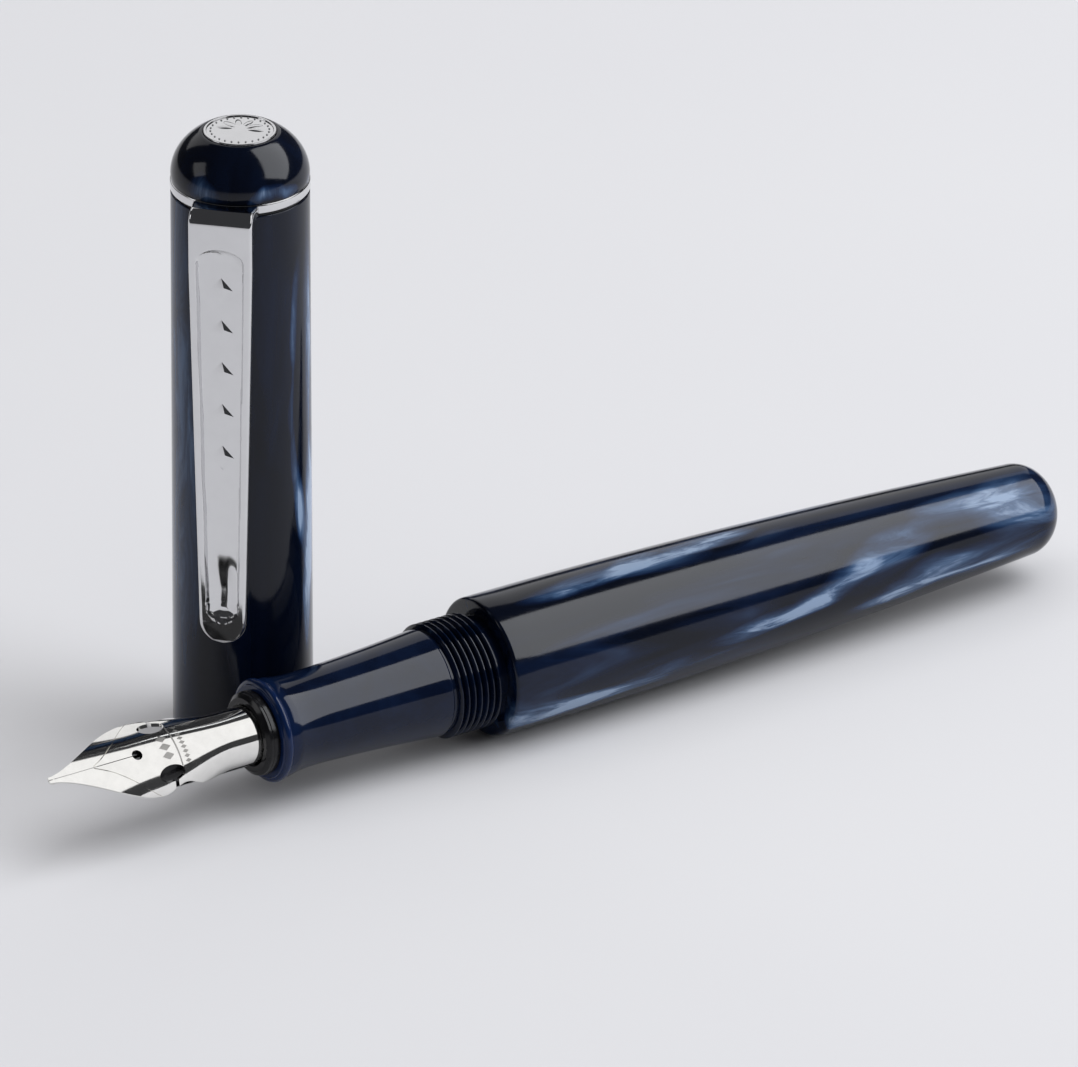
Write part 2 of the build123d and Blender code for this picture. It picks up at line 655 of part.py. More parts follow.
def clip_ring():
    """The ring round the stud, with the lug that carries the arm pointing along +X."""
    radius = CAP_TOP_RADIUS + CLIP_RING_PROUD
    hole = STUD_RADIUS + STUD_THREAD_HEIGHT + RUNNING_FIT
    band = turned(
        [
            (hole, RING_FOOT),
            (radius - 0.12, RING_FOOT),
            (radius, RING_FOOT + 0.12),
            (radius, DOME_FOOT - 0.12),
            (radius - 0.12, DOME_FOOT),
            (hole, DOME_FOOT),
        ],
        Axis.Z,
    )
    out, height = clip_pivot()
    socket = CLIP_PIVOT_RADIUS + RUNNING_FIT
    bar = Box(out - radius + 1, CLIP_TOP_WIDTH - 0.5, 2 * CLIP_PIVOT_RADIUS - 0.2)
    lug = Pos((out + radius - 1) / 2, 0, height) * bar
    lug -= Cylinder(CAP_TOP_RADIUS - 0.9, 200)
    lug -= Pos(0, 0, RING_FOOT - 5) * Cylinder(CAP_TOP_RADIUS + PART_GAP / 2, 10)
    lug -= Pos(out, 0, height) * Rotation(90, 0, 0) * Cylinder(socket, 20)
    lug -= Pos(out, 0, height - 5) * Box(2 * socket, 20, 10)
    return band + lug


def clip_outline():
    """The arm seen square on (across, up): nearly parallel sides and a round end."""
    _, height = clip_pivot()
    top = height + CLIP_PIVOT_RADIUS
    end = RING_FOOT - CLIP_LENGTH
    half_top = CLIP_TOP_WIDTH / 2
    half_end = CLIP_END_WIDTH / 2
    return top, end, half_top, half_end


def clip_arm():
    out, height = clip_pivot()
    top, end, half_top, half_end = clip_outline()
    foot_in = CAP_MOUTH_RADIUS + CLIP_END_STANDOFF
    profile = side_block(
        [
            (out - CLIP_THICKNESS / 2, height),
            (out + CLIP_THICKNESS / 2, height),
            (foot_in + CLIP_THICKNESS, end - 1),
            (foot_in, end - 1),
        ],
        CLIP_TOP_WIDTH + 2,
    )
    profile += Pos(out, 0, height) * Rotation(90, 0, 0) * Cylinder(CLIP_PIVOT_RADIUS, CLIP_TOP_WIDTH + 2)
    front = Plane.YZ
    round_start = end + half_end
    sides = Polyline(
        (half_end, round_start),
        (half_top, top - 6),
        (half_top, top + 1),
        (-half_top, top + 1),
        (-half_top, top - 6),
        (-half_end, round_start),
    )
    bottom = ThreePointArc((-half_end, round_start), (0, end), (half_end, round_start))
    blank = extrude(make_face(front * Wire([*sides.edges(), *bottom.edges()])), 30)
    arm = profile & blank

    def surface(z):
        """Radius of the arm's outer face at height z."""
        share = (height - z) / (height - (end - 1))
        return out + CLIP_THICKNESS / 2 + share * (foot_in + CLIP_THICKNESS / 2 - out)

    panel_top = RING_FOOT - CLIP_PANEL_TOP
    panel_end = end + CLIP_PANEL_END
    panel_half_top = half_top - CLIP_BORDER
    panel_half_end = half_end - CLIP_BORDER
    arch = panel_top - 0.55 * panel_half_top
    low_left = (-panel_half_end, panel_end + panel_half_end)
    low_right = (panel_half_end, panel_end + panel_half_end)
    panel_sides = [
        *Line((-panel_half_top, arch), low_left).edges(),
        *ThreePointArc(low_left, (0, panel_end), low_right).edges(),
        *Line(low_right, (panel_half_top, arch)).edges(),
        *ThreePointArc((panel_half_top, arch), (0, panel_top), (-panel_half_top, arch)).edges(),
    ]
    window = extrude(make_face(front * Wire(panel_sides)), 30)
    floor_top = surface(height) - CLIP_PANEL_DEPTH
    floor_end = surface(end - 1) - CLIP_PANEL_DEPTH
    outer = floor_top + 9
    recess = side_block([(floor_top, height), (outer, height), (outer, end - 1), (floor_end, end - 1)], 20)
    arm -= window & recess

    for step in range(DIAMOND_COUNT):
        z = RING_FOOT - DIAMOND_FIRST - DIAMOND_PITCH * step
        root = surface(z) - CLIP_PANEL_DEPTH - 0.1
        base = Plane(origin=(root, 0, z), x_dir=(0, 1, 0), z_dir=(1, 0, 0))
        half_wide = DIAMOND_WIDTH / 2
        half_high = DIAMOND_HEIGHT / 2
        corners = Polyline((half_wide, 0), (0, half_high), (-half_wide, 0), (0, -half_high), close=True)
        diamond = make_face(base * corners)
        tip = Plane(origin=(root + DIAMOND_RISE + 0.1, 0, z), x_dir=(0, 1, 0), z_dir=(1, 0, 0))
        small = make_face(tip * Polyline((0.05, 0), (0, 0.05), (-0.05, 0), (0, -0.05), close=True))
        arm += loft([diamond, small], ruled=True)

    foot_z = end + half_end + 0.3
    foot = Pos(CAP_MOUTH_RADIUS + CLIP_FOOT_GAP + CLIP_FOOT_RADIUS, 0, foot_z) * Sphere(CLIP_FOOT_RADIUS)
    foot &= Pos(surface(foot_z) - CLIP_THICKNESS / 2 - 5, 0, foot_z) * Box(10, 10, 10)
    return arm + foot


# ---- finial ------------------------------------------------------------------------------------------
def finial_dome():
    belt = DOME_FOOT + DOME_BELT
    top_radius = BELT_RADIUS * sqrt(1 - ((DOME_TOP - belt) / DOME_CROWN) ** 2)
    mid_up = 0.62 * (DOME_TOP - belt)
    mid_radius = BELT_RADIUS * sqrt(1 - (mid_up / DOME_CROWN) ** 2)
    pocket = MEDALLION_RADIUS + BEZEL_WIDTH + SEAT_GAP
    pocket_floor = DOME_TOP - BEZEL_HEIGHT
    stud_hole = STUD_RADIUS + SEAT_GAP
    stud_top = DOME_FOOT + STUD_IN_DOME + SEAT_GAP
    crown = Spline(
        (BELT_RADIUS, belt),
        (mid_radius, belt + mid_up),
        (top_radius, DOME_TOP),
        tangents=[(0, 1), (-1, (top_radius - mid_radius) * 0.28)],
    )
    rest = Polyline(
        (top_radius, DOME_TOP),
        (pocket, DOME_TOP),
        (pocket, pocket_floor),
        (0, pocket_floor),
        (0, stud_top),
        (stud_hole, stud_top),
        (stud_hole, DOME_FOOT),
        (BELT_RADIUS - 0.06, DOME_FOOT),
        (BELT_RADIUS, belt),
    )
    return revolve(make_face(SIDE * Wire([*crown.edges(), *rest.edges()])), Axis.Z)


def finial_bezel():
    outer = MEDALLION_RADIUS + BEZEL_WIDTH
    floor = DOME_TOP - BEZEL_HEIGHT + SEAT_GAP
    return turned(
        [
            (MEDALLION_RADIUS + SEAT_GAP, floor),
            (outer, floor),
            (outer, DOME_TOP + 0.05),
            (outer - 0.1, DOME_TOP + 0.15),
            (MEDALLION_RADIUS + SEAT_GAP, DOME_TOP + 0.15),
        ],
        Axis.Z,
    )


def finial_medallion():
    floor = DOME_TOP - BEZEL_HEIGHT + SEAT_GAP
    rim = DOME_TOP + 0.05
    crown = rim + MEDALLION_CROWN - 0.05
    edge = Polyline((MEDALLION_RADIUS, rim), (MEDALLION_RADIUS, floor), (0, floor), (0, crown))
    height = MEDALLION_CROWN - 0.05
    sphere = (MEDALLION_RADIUS**2 + height**2) / (2 * height)
    half = MEDALLION_RADIUS / 2
    mid = rim + height - sphere + sqrt(sphere**2 - half**2)
    face = ThreePointArc((0, rim + height), (half, mid), (MEDALLION_RADIUS, rim))
    return revolve(make_face(SIDE * Wire([*edge.edges(), *face.edges()])), Axis.Z)


def finial_stud():
    bottom = CAP_TUBE_LENGTH - CAP_TOP_WALL + 0.2
    top = DOME_FOOT + STUD_IN_DOME
    turns = (DOME_FOOT - bottom - 1.2) / STUD_THREAD_PITCH
    shank = Cylinder(STUD_RADIUS, top - bottom, align=(Align.CENTER, Align.CENTER, Align.MIN))
    thread = thread_ridge(STUD_RADIUS, STUD_THREAD_HEIGHT, STUD_THREAD_PITCH, turns)
    return Pos(0, 0, bottom) * shank + Pos(0, 0, bottom + 0.5) * thread


# ---- all pieces --------------------------------------------------------------------------------------
PIECES = {
    "barrel": (barrel, PEN_PLACE),
    "section": (section, PEN_PLACE),
    "barrel_seal": (barrel_seal, PEN_PLACE),
    "nib": (nib, NIB_PLACE),
    "feed": (feed, NIB_PLACE),
    "nib_housing": (nib_housing, PEN_PLACE),
    "housing_seal": (housing_seal, PEN_PLACE),
    "converter_mouth": (converter_mouth, PEN_PLACE),
    "converter_reservoir": (converter_reservoir, PEN_PLACE),
    "converter_guide": (converter_guide, PEN_PLACE),
    "converter_collar": (converter_collar, PEN_PLACE),
    "converter_knob": (converter_knob, PEN_PLACE),
    "knob_button": (knob_button, PEN_PLACE),
    "piston_rod": (piston_rod, PEN_PLACE),
    "piston_seal": (piston_seal, PEN_PLACE),
    "cap_tube": (cap_tube, CAP_PLACE),
    "inner_cap": (inner_cap, CAP_PLACE),
    "clip_washer": (clip_washer, CAP_PLACE),
    "clip_ring": (clip_ring, CLIP_PLACE),
    "clip_arm": (clip_arm, CLIP_PLACE),
    "finial_dome": (finial_dome, CAP_PLACE),
    "finial_bezel": (finial_bezel, CAP_PLACE),
    "finial_medallion": (finial_medallion, CAP_PLACE),
    "finial_stud": (finial_stud, CAP_PLACE),
}

os.makedirs("parts", exist_ok=True)
for name, (make, place) in PIECES.items():
    piece = place * make()
    solids = piece.solids()
    export_step(solids[0] if len(solids) == 1 else Compound(children=solids), f"parts/{name}.step")
    print(f"{name}: {len(solids)} solid(s), {sum(s.volume for s in solids):.2f} mm3")
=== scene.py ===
"""Looks of a fountain pen with its cap off: the pen lies on its barrel, the cap stands behind the grip.

Sizes of the pieces are millimetres, and MM turns them into Blender's metres.
The floor, the lights and the camera's distance are metres.
Pen pieces are drawn with their axis on X and x = 0 at the barrel's lip, then put at PEN.
Cap pieces are drawn with their axis on Z and z = 0 at the cap's mouth, then put at CAP.
"""

from math import asin, cos, pi, radians, sin, sqrt, tan

import bpy
from mathutils import Matrix, Vector


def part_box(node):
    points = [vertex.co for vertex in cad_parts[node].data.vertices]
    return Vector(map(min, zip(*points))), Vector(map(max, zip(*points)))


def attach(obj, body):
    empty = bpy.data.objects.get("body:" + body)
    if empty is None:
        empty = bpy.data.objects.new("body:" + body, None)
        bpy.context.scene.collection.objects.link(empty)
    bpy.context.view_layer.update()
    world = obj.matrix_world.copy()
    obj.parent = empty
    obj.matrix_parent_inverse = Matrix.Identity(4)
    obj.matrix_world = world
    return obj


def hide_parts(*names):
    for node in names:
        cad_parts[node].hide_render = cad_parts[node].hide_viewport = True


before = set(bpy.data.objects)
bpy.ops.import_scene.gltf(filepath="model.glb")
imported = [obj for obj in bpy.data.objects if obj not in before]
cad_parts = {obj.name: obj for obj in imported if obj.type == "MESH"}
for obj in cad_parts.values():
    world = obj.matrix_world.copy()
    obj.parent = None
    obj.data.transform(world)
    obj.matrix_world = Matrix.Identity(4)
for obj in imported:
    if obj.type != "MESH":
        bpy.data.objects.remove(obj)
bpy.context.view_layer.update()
MM = 0.001
TIGHT = 2e-7                  # points closer than this are one point, metres


# ---- sizes read from the frame, in millimetres ---------------------------------------------------
def low(node, axis):
    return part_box(node)[0][axis] / MM


def high(node, axis):
    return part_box(node)[1][axis] / MM


def middle(node, axis):
    return (low(node, axis) + high(node, axis)) / 2


X, Y, Z = 0, 1, 2
PEN = Vector((low("barrel", X), middle("barrel", Y), middle("barrel", Z)))
CAP = Vector((middle("cap_tube", X), middle("cap_tube", Y), 0))
BARREL_LENGTH = high("barrel", X) - low("barrel", X)
BARREL_RADIUS = (high("barrel", Y) - low("barrel", Y)) / 2
SECTION_FRONT = low("section", X) - PEN.x
TENON_END = high("section", X) - PEN.x
HOUSING_FACE = low("nib_housing", X) - PEN.x
HOUSING_END = high("nib_housing", X) - PEN.x
HOUSING_RADIUS = (high("nib_housing", Y) - low("nib_housing", Y)) / 2
CAP_HEIGHT = high("cap_tube", Z)
CAP_MOUTH_RADIUS = (high("cap_tube", Y) - low("cap_tube", Y)) / 2
RING_FOOT = low("clip_washer", Z) + 0.3
DOME_FOOT = low("finial_dome", Z)
DOME_TOP = high("finial_dome", Z)
DOME_RADIUS = (high("finial_dome", Y) - low("finial_dome", Y)) / 2
MEDALLION_RADIUS = (high("finial_medallion", Y) - low("finial_medallion", Y)) / 2
MEDALLION_TOP = high("finial_medallion", Z)
CLIP_END = low("clip_arm", Z)

CLIP_HEADING = radians(-135)
NIB_ROLL = radians(36.5)


# ---- working in edit mode ------------------------------------------------------------------------
def clear_selection():
    bpy.ops.object.select_all(action="DESELECT")


def named(name):
    piece = bpy.context.object
    piece.name = name
    piece.data.name = name
    return piece


def draw_chain(points):
    """A chain of edges drawn out from one vertex; leaves edit mode on and all of it selected."""
    clear_selection()
    bpy.ops.mesh.primitive_plane_add(size=MM, enter_editmode=True)
    bpy.ops.mesh.merge(type="CENTER")
    bpy.ops.transform.translate(value=Vector(points[0]) * MM)
    for here, there in zip(points, points[1:]):
        step = (Vector(there) - Vector(here)) * MM
        bpy.ops.mesh.extrude_region_move(TRANSFORM_OT_translate={"value": step})
    bpy.ops.mesh.select_all(action="SELECT")


def close_up():
    """Merges what lies in one place, turns the faces outwards and leaves edit mode."""
    bpy.ops.mesh.select_all(action="SELECT")
    bpy.ops.mesh.remove_doubles(threshold=TIGHT)
    bpy.ops.mesh.normals_make_consistent(inside=False)
    bpy.ops.object.mode_set(mode="OBJECT")


def eased(outline, arc_steps=4):
    """The outline's points, with an arc at each corner that is given a radius as its third value."""
    points = []
    for index, corner in enumerate(outline):
        here = Vector(corner[:2])
        if len(corner) < 3:
            points.append(here)
            continue
        to_last = (Vector(outline[index - 1][:2]) - here).normalized()
        to_next = (Vector(outline[(index + 1) % len(outline)][:2]) - here).normalized()
        half = to_last.angle(to_next) / 2
        centre = here + (to_last + to_next).normalized() * corner[2] / sin(half)
        start = here + to_last * corner[2] / tan(half) - centre
        end = here + to_next * corner[2] / tan(half) - centre
        sweep = pi - 2 * half
        for step in range(arc_steps + 1):
            share = step / arc_steps
            arm = (start * sin((1 - share) * sweep) + end * sin(share * sweep)) / sin(sweep)
            points.append(centre + arm)
    return points


def turned(name, outline, axis="X", steps=96, closed=False):
    """A turned piece: its outline of (along, out) corners is drawn as edges and spun once round the axis."""
    points = eased(outline)
    if closed:
        points.append(points[0])
    if axis == "X":
        draw_chain([(p[0], 0, p[1]) for p in points])
        bpy.ops.mesh.spin(steps=steps, angle=2 * pi, center=(0, 0, 0), axis=(1, 0, 0))
    else:
        draw_chain([(p[1], 0, p[0]) for p in points])
        bpy.ops.mesh.spin(steps=steps, angle=2 * pi, center=(0, 0, 0), axis=(0, 0, 1))
    close_up()
    return named(name)


THREAD_SINK = 0.15            # how far a ridge goes into the core it stands on
THREAD_FOOT = 0.44            # half widths of a ridge, as shares of its pitch
THREAD_SHOULDER = 0.16
THREAD_CREST = 0.06
SHOULDER_HEIGHT = 0.80        # share of the ridge's height
THREAD_END_REACH = 0.46       # reaches all of one end of a ridge, as a share of its pitch
ON_PLANE = 1e-5               # metres


def thread(name, start, turns, pitch, root, crest, steps=64):
    """The ridge of a screw thread about X: its section is drawn as a closed chain and wound up."""
    half = [
        (THREAD_FOOT, root - THREAD_SINK),
        (THREAD_FOOT, root),
        (THREAD_SHOULDER, root + SHOULDER_HEIGHT * (crest - root)),
        (THREAD_CREST, crest),
    ]
    section = [(share * pitch, out) for share, out in half]
    section += [(-along, out) for along, out in reversed(section)]
    section.append(section[0])
    draw_chain([(0, out, along) for along, out in section])
    close_up()
    ridge = named(name)
    wind = ridge.modifiers.new("wind", "SCREW")
    wind.axis = "Z"
    wind.angle = 2 * pi
    wind.steps = steps
    wind.render_steps = steps
    wind.screw_offset = pitch * MM
    wind.iterations = turns
    wind.use_merge_vertices = False
    bpy.ops.object.modifier_apply(modifier="wind")
    bpy.ops.object.mode_set(mode="EDIT")
    near = THREAD_END_REACH * pitch * MM
    for level in (0, pitch * turns * MM):
        select_points(ridge, lambda p: abs(p.z - level) < near and abs(p.x) < ON_PLANE and p.y > 0)
        bpy.ops.mesh.merge(type="CENTER")
    close_up()
    return put(ridge, (start, 0, 0), (0, pi / 2, 0))


def select_points(piece, wanted):
    """In edit mode, selects the vertices whose place passes the test."""
    bpy.ops.mesh.select_mode(type="VERT")
    bpy.ops.mesh.select_all(action="DESELECT")
    bpy.ops.object.mode_set(mode="OBJECT")
    for vertex in piece.data.vertices:
        vertex.select = wanted(vertex.co)
    bpy.ops.object.mode_set(mode="EDIT")


def settle(piece):
    """Works the object's place, turn and size into its mesh."""
    clear_selection()
    piece.select_set(True)
    bpy.context.view_layer.objects.active = piece
    bpy.ops.object.transform_apply(location=True, rotation=True, scale=True)
    return piece


def put(piece, place, turn=(0, 0, 0)):
    """Moves a piece that was drawn round the origin to its place, in millimetres, and settles it there."""
    piece.rotation_euler = turn
    piece.location = Vector(place) * MM
    return settle(piece)


def joined(main, *others):
    """One piece made of several shells."""
    clear_selection()
    for other in others:
        other.select_set(True)
    main.select_set(True)
    bpy.context.view_layer.objects.active = main
    bpy.ops.object.join()
    return main


def cut(piece, cutter, operation="DIFFERENCE"):
    """Cuts one solid with another by a Boolean modifier, and removes the cutter."""
    clear_selection()
    piece.select_set(True)
    bpy.context.view_layer.objects.active = piece
    knife = piece.modifiers.new("cut", "BOOLEAN")
    knife.object = cutter
    knife.operation = operation
    knife.solver = "EXACT"
    bpy.ops.object.modifier_apply(modifier="cut")
    bpy.data.objects.remove(cutter)
    return piece


def finish_piece(piece, finish, body, node, crease):
    """Smooth shading with crisp corners, the finish, the body it rides on and the node it stands for."""
    clear_selection()
    piece.select_set(True)
    bpy.context.view_layer.objects.active = piece
    bpy.ops.object.shade_smooth_by_angle(angle=radians(crease))
    piece.data.materials.clear()
    piece.data.materials.append(finish)
    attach(piece, body)
    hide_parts(node)
    return piece


def skinned(name, rings, pattern=None):
    """A closed skin over cross-sections of equally many points, each end closed by one face.

    pattern, if given, holds a (u, v) pair for every point, kept as the piece's UV map.
    """
    count = len(rings[0])
    points = [Vector(p) * MM for ring in rings for p in ring]
    faces = []
    for row in range(len(rings) - 1):
        for col in range(count):
            a = row * count + col
            b = row * count + (col + 1) % count
            faces.append((a, b, b + count, a + count))
    faces.append(tuple(reversed(range(count))))
    faces.append(tuple((len(rings) - 1) * count + col for col in range(count)))
    mesh = bpy.data.meshes.new(name)
    mesh.from_pydata(points, [], faces)
    if pattern:
        spots = [spot for ring in pattern for spot in ring]
        layer = mesh.uv_layers.new(name="surface")
        for loop in mesh.loops:
            layer.data[loop.index].uv = spots[loop.vertex_index]
    piece = bpy.data.objects.new(name, mesh)
    bpy.context.scene.collection.objects.link(piece)
    clear_selection()
    piece.select_set(True)
    bpy.context.view_layer.objects.active = piece
    bpy.ops.object.mode_set(mode="EDIT")
    close_up()
    return piece


def smoothstep(value, start, end):
    share = min(1, max(0, (value - start) / (end - start)))
    return share * share * (3 - 2 * share)


# ---- finishes ------------------------------------------------------------------------------------
class Finish:
    """A material being mixed: short ways to add nodes and join them up."""

    def __init__(self, name, **settings):
        self.material = bpy.data.materials.new(name)
        self.material.use_nodes = True
        self.tree = self.material.node_tree
        self.surface = self.tree.nodes["Principled BSDF"]
        for socket, value in settings.items():
            self.surface.inputs[socket.replace("_", " ")].default_value = value

    def add(self, kind, **settings):
        node = self.tree.nodes.new("ShaderNode" + kind)
        for key, value in settings.items():
            setattr(node, key, value)
        return node

    def feed(self, source, target, socket):
        self.tree.links.new(source, target.inputs[socket])

    def value(self, target, socket, source):
        """Sets a socket from a number, a colour or another node's output."""
        if isinstance(source, bpy.types.NodeSocket):
            self.tree.links.new(source, target.inputs[socket])
        else:
            target.inputs[socket].default_value = source

    def place(self, centre=(0, 0, 0), turn=(0, 0, 0), stretch=(1, 1, 1)):
        """Object coordinates in millimetres, from a centre, turned and squeezed."""
        coordinates = self.add("TexCoord").outputs["Object"]
        mm = self.add("Mapping")
        self.feed(coordinates, mm, "Vector")
        mm.inputs["Scale"].default_value = (1 / MM, 1 / MM, 1 / MM)
        mm.inputs["Location"].default_value = -Vector(centre)
        turned_way = self.add("Mapping")
        self.feed(mm.outputs["Vector"], turned_way, "Vector")
        turned_way.inputs["Rotation"].default_value = turn
        turned_way.inputs["Scale"].default_value = stretch
        return turned_way.outputs["Vector"]

    def math(self, operation, first, second=None, third=None, clamp=False):
        node = self.add("Math", operation=operation, use_clamp=clamp)
        for index, source in enumerate((first, second, third)):
            if source is not None:
                self.value(node, index, source)
        return node.outputs[0]

    def vector(self, operation, first, second=None, scale=None):
        node = self.add("VectorMath", operation=operation)
        self.value(node, 0, first)
        if second is not None:
            self.value(node, 1, second)
        if scale is not None:
            self.value(node, "Scale", scale)
        return node.outputs["Value" if operation in ("LENGTH", "DOT_PRODUCT") else "Vector"]

    def noise(self, where, scale, detail=3.0, roughness=0.5, distortion=0.0):
        node = self.add("TexNoise")
        self.feed(where, node, "Vector")
        node.inputs["Scale"].default_value = scale
        node.inputs["Detail"].default_value = detail
        node.inputs["Roughness"].default_value = roughness
        node.inputs["Distortion"].default_value = distortion
        return node

    def ramp(self, source, *stops):
        """Colours or greys between (place, colour) stops."""
        node = self.add("ValToRGB")
        self.value(node, 0, source)
        bar = node.color_ramp.elements
        while len(bar) < len(stops):
            bar.new(0.5)
        for element, (spot, colour) in zip(bar, stops):
            element.position = spot
            element.color = (*colour, 1) if isinstance(colour, tuple) else (colour, colour, colour, 1)
        return node.outputs["Color"]

    def mix(self, share, first, second):
        node = self.add("Mix", data_type="RGBA")
        self.value(node, 0, share)
        for socket, source in ((6, first), (7, second)):
            self.value(node, socket, (*source, 1) if isinstance(source, tuple) else source)
        return node.outputs[2]

    def bump(self, height, distance, strength=1.0):
        node = self.add("Bump")
        self.feed(height, node, "Height")
        node.inputs["Distance"].default_value = distance * MM
        node.inputs["Strength"].default_value = strength
        self.feed(node.outputs["Normal"], self.surface, "Normal")

    def separate(self, source):
        node = self.add("SeparateXYZ")
        self.feed(source, node, 0)
        return node.outputs

    def done(self, colour=None, roughness=None):
        if colour is not None:
            self.value(self.surface, "Base Color", colour)
        if roughness is not None:
            self.value(self.surface, "Roughness", roughness)
        return self.material


def pearl_resin(name, centre, along, flames, seed, haze=1.0):
    """Near-black blue resin with pale pearly flames cast into it, polished to a deep gloss.

    flames are (place, turn in degrees, size, strength): soft ellipsoids in millimetres from the centre.
    haze is how much faint smoke there is between them.
    """
    resin = Finish(name, IOR=1.36)
    stretch = [1.0, 1.0, 1.0]
    stretch[along] = 0.16
    here = resin.place(centre)
    grain = resin.place(centre + Vector((seed, 2 * seed, 0)), stretch=stretch)
    drift = resin.noise(grain, 0.16, detail=2.5, roughness=0.55)
    swing = resin.vector("SUBTRACT", drift.outputs["Color"], (0.5, 0.5, 0.5))
    bent = resin.vector("ADD", here, resin.vector("SCALE", swing, scale=7.0))
    bent_grain = resin.vector("ADD", grain, resin.vector("SCALE", swing, scale=4.0))
    wisps = resin.noise(bent_grain, 0.55, detail=5.0, roughness=0.6, distortion=0.6).outputs["Fac"]
    streaks = resin.ramp(wisps, (0.30, 0.18), (0.50, 0.55), (0.66, 1.0))
    smoke = resin.noise(bent_grain, 0.23, detail=3.0, roughness=0.5, distortion=0.9).outputs["Fac"]
    glow = resin.math("MULTIPLY", resin.ramp(smoke, (0.42, 0.0), (0.56, 0.12), (0.72, 0.36)), haze)
    for place, turn, size, strength in flames:
        spot = resin.add("Mapping", vector_type="TEXTURE")
        resin.feed(bent, spot, "Vector")
        spot.inputs["Location"].default_value = place
        spot.inputs["Rotation"].default_value = [radians(a) for a in turn]
        spot.inputs["Scale"].default_value = size
        ball = resin.add("TexGradient", gradient_type="SPHERICAL")
        resin.feed(spot.outputs["Vector"], ball, "Vector")
        soft = resin.math("SMOOTH_MIN", ball.outputs["Fac"], 0.75, 0.4)
        lit = resin.math("MULTIPLY", resin.math("MULTIPLY", soft, streaks), strength * 1.5)
        glow = resin.math("ADD", glow, lit)
    colour = resin.ramp(
        glow,
        (0.0, (0.0018, 0.0034, 0.0095)),
        (0.16, (0.004, 0.010, 0.032)),
        (0.40, (0.017, 0.038, 0.090)),
        (0.68, (0.062, 0.112, 0.210)),
        (1.0, (0.26, 0.35, 0.50)),
    )
    polish = resin.noise(here, 0.9, detail=4.0).outputs["Fac"]
    return resin.done(colour, resin.ramp(polish, (0.3, 0.09), (0.7, 0.14)))


PAINTED_LIP_GLOW_REACH = 2.2          # how far back from the lip the painted glow of light through the thin resin reaches


def plain_resin(name, lip_x):
    """Dark clear blue resin; the light that thin places near the flared lip let through is painted into the
    colour as a bluer tint.
    """
    resin = Finish(name, IOR=1.35)
    here = resin.place(PEN)
    along = resin.separate(here)["X"]
    behind = resin.math("DIVIDE", resin.math("SUBTRACT", along, lip_x), PAINTED_LIP_GLOW_REACH)
    lip = resin.math("SUBTRACT", 1.0, behind, clamp=True)
    cloud = resin.noise(here, 0.35, detail=3.0, distortion=0.4).outputs["Fac"]
    body = resin.ramp(cloud, (0.3, (0.0022, 0.005, 0.017)), (0.7, (0.004, 0.010, 0.032)))
    # painted light: a bluer tint near the lip stands in for light shining through the thin resin
    colour = resin.mix(resin.math("MULTIPLY", lip, 0.75), body, (0.006, 0.022, 0.092))
    return resin.done(colour, resin.ramp(cloud, (0.3, 0.07), (0.7, 0.11)))


def polished_metal(name, tint, centre, gloss=(0.05, 0.11), hairline=0.25):
    """Bright plated metal with faint polishing lines and cloudy wipe marks."""
    metal = Finish(name, Metallic=1.0)
    here = metal.place(centre)
    cloud = metal.noise(here, 0.5, detail=4.0, roughness=0.6).outputs["Fac"]
    lines = metal.noise(metal.place(centre, stretch=(9.0, 9.0, 0.6)), 2.0, detail=2.0).outputs["Fac"]
    shade = metal.ramp(cloud, (0.3, tuple(0.96 * c for c in tint)), (0.7, tint))
    metal.bump(lines, 0.002, hairline)
    return metal.done(shade, metal.ramp(cloud, (0.25, gloss[0]), (0.75, gloss[1])))


RULE_PLACE = 9.55             # the etched ornament, ahead of the housing
RULE_HALF_WIDTH = 0.08
RULE_REACH = 2.3
CELLS_ASIDE = 10.5            # a whole number of cells keeps a row positive; the half puts one on the ridge


def etched_steel(name):
    """The nib's bright steel, with two rows of lozenges and a rule etched matt across it."""
    steel = Finish(name, Metallic=1.0)
    here = steel.place(PEN)
    cloud = steel.noise(here, 0.7, detail=4.0, roughness=0.6).outputs["Fac"]
    spots = steel.separate(steel.add("UVMap", uv_map="surface").outputs["UV"])
    ahead, across = spots["X"], spots["Y"]
    side = steel.math("ABSOLUTE", across)

    def row(place, pitch, half_along, half_across, reach):
        """Lozenges in a row across the nib."""
        cells = steel.math("ADD", steel.math("DIVIDE", across, pitch), CELLS_ASIDE)
        cell = steel.math("SUBTRACT", steel.math("FRACT", cells), 0.5)
        wide = steel.math("DIVIDE", steel.math("ABSOLUTE", cell), half_across / pitch)
        long = steel.math("DIVIDE", steel.math("ABSOLUTE", steel.math("SUBTRACT", ahead, place)), half_along)
        inside = steel.math("LESS_THAN", steel.math("ADD", wide, long), 1.0)
        return steel.math("MULTIPLY", inside, steel.math("LESS_THAN", side, reach))

    from_rule = steel.math("ABSOLUTE", steel.math("SUBTRACT", ahead, RULE_PLACE))
    rule = steel.math("LESS_THAN", from_rule, RULE_HALF_WIDTH)
    rule = steel.math("MULTIPLY", rule, steel.math("LESS_THAN", side, RULE_REACH))
    etch = steel.math("MAXIMUM", rule, row(10.75, 0.98, 0.66, 0.42, 1.45))
    etch = steel.math("MAXIMUM", etch, row(8.75, 0.49, 0.34, 0.2, 2.2))
    bright = steel.ramp(cloud, (0.3, (0.80, 0.79, 0.76)), (0.7, (0.88, 0.87, 0.84)))
    colour = steel.mix(steel.math("MULTIPLY", etch, 0.75), bright, (0.42, 0.41, 0.39))
    smooth = steel.ramp(cloud, (0.25, 0.05), (0.75, 0.10))
    steel.bump(steel.math("SUBTRACT", 1.0, etch), 0.012, 0.6)
    return steel.done(colour, steel.mix(etch, smooth, (0.42, 0.42, 0.42)))


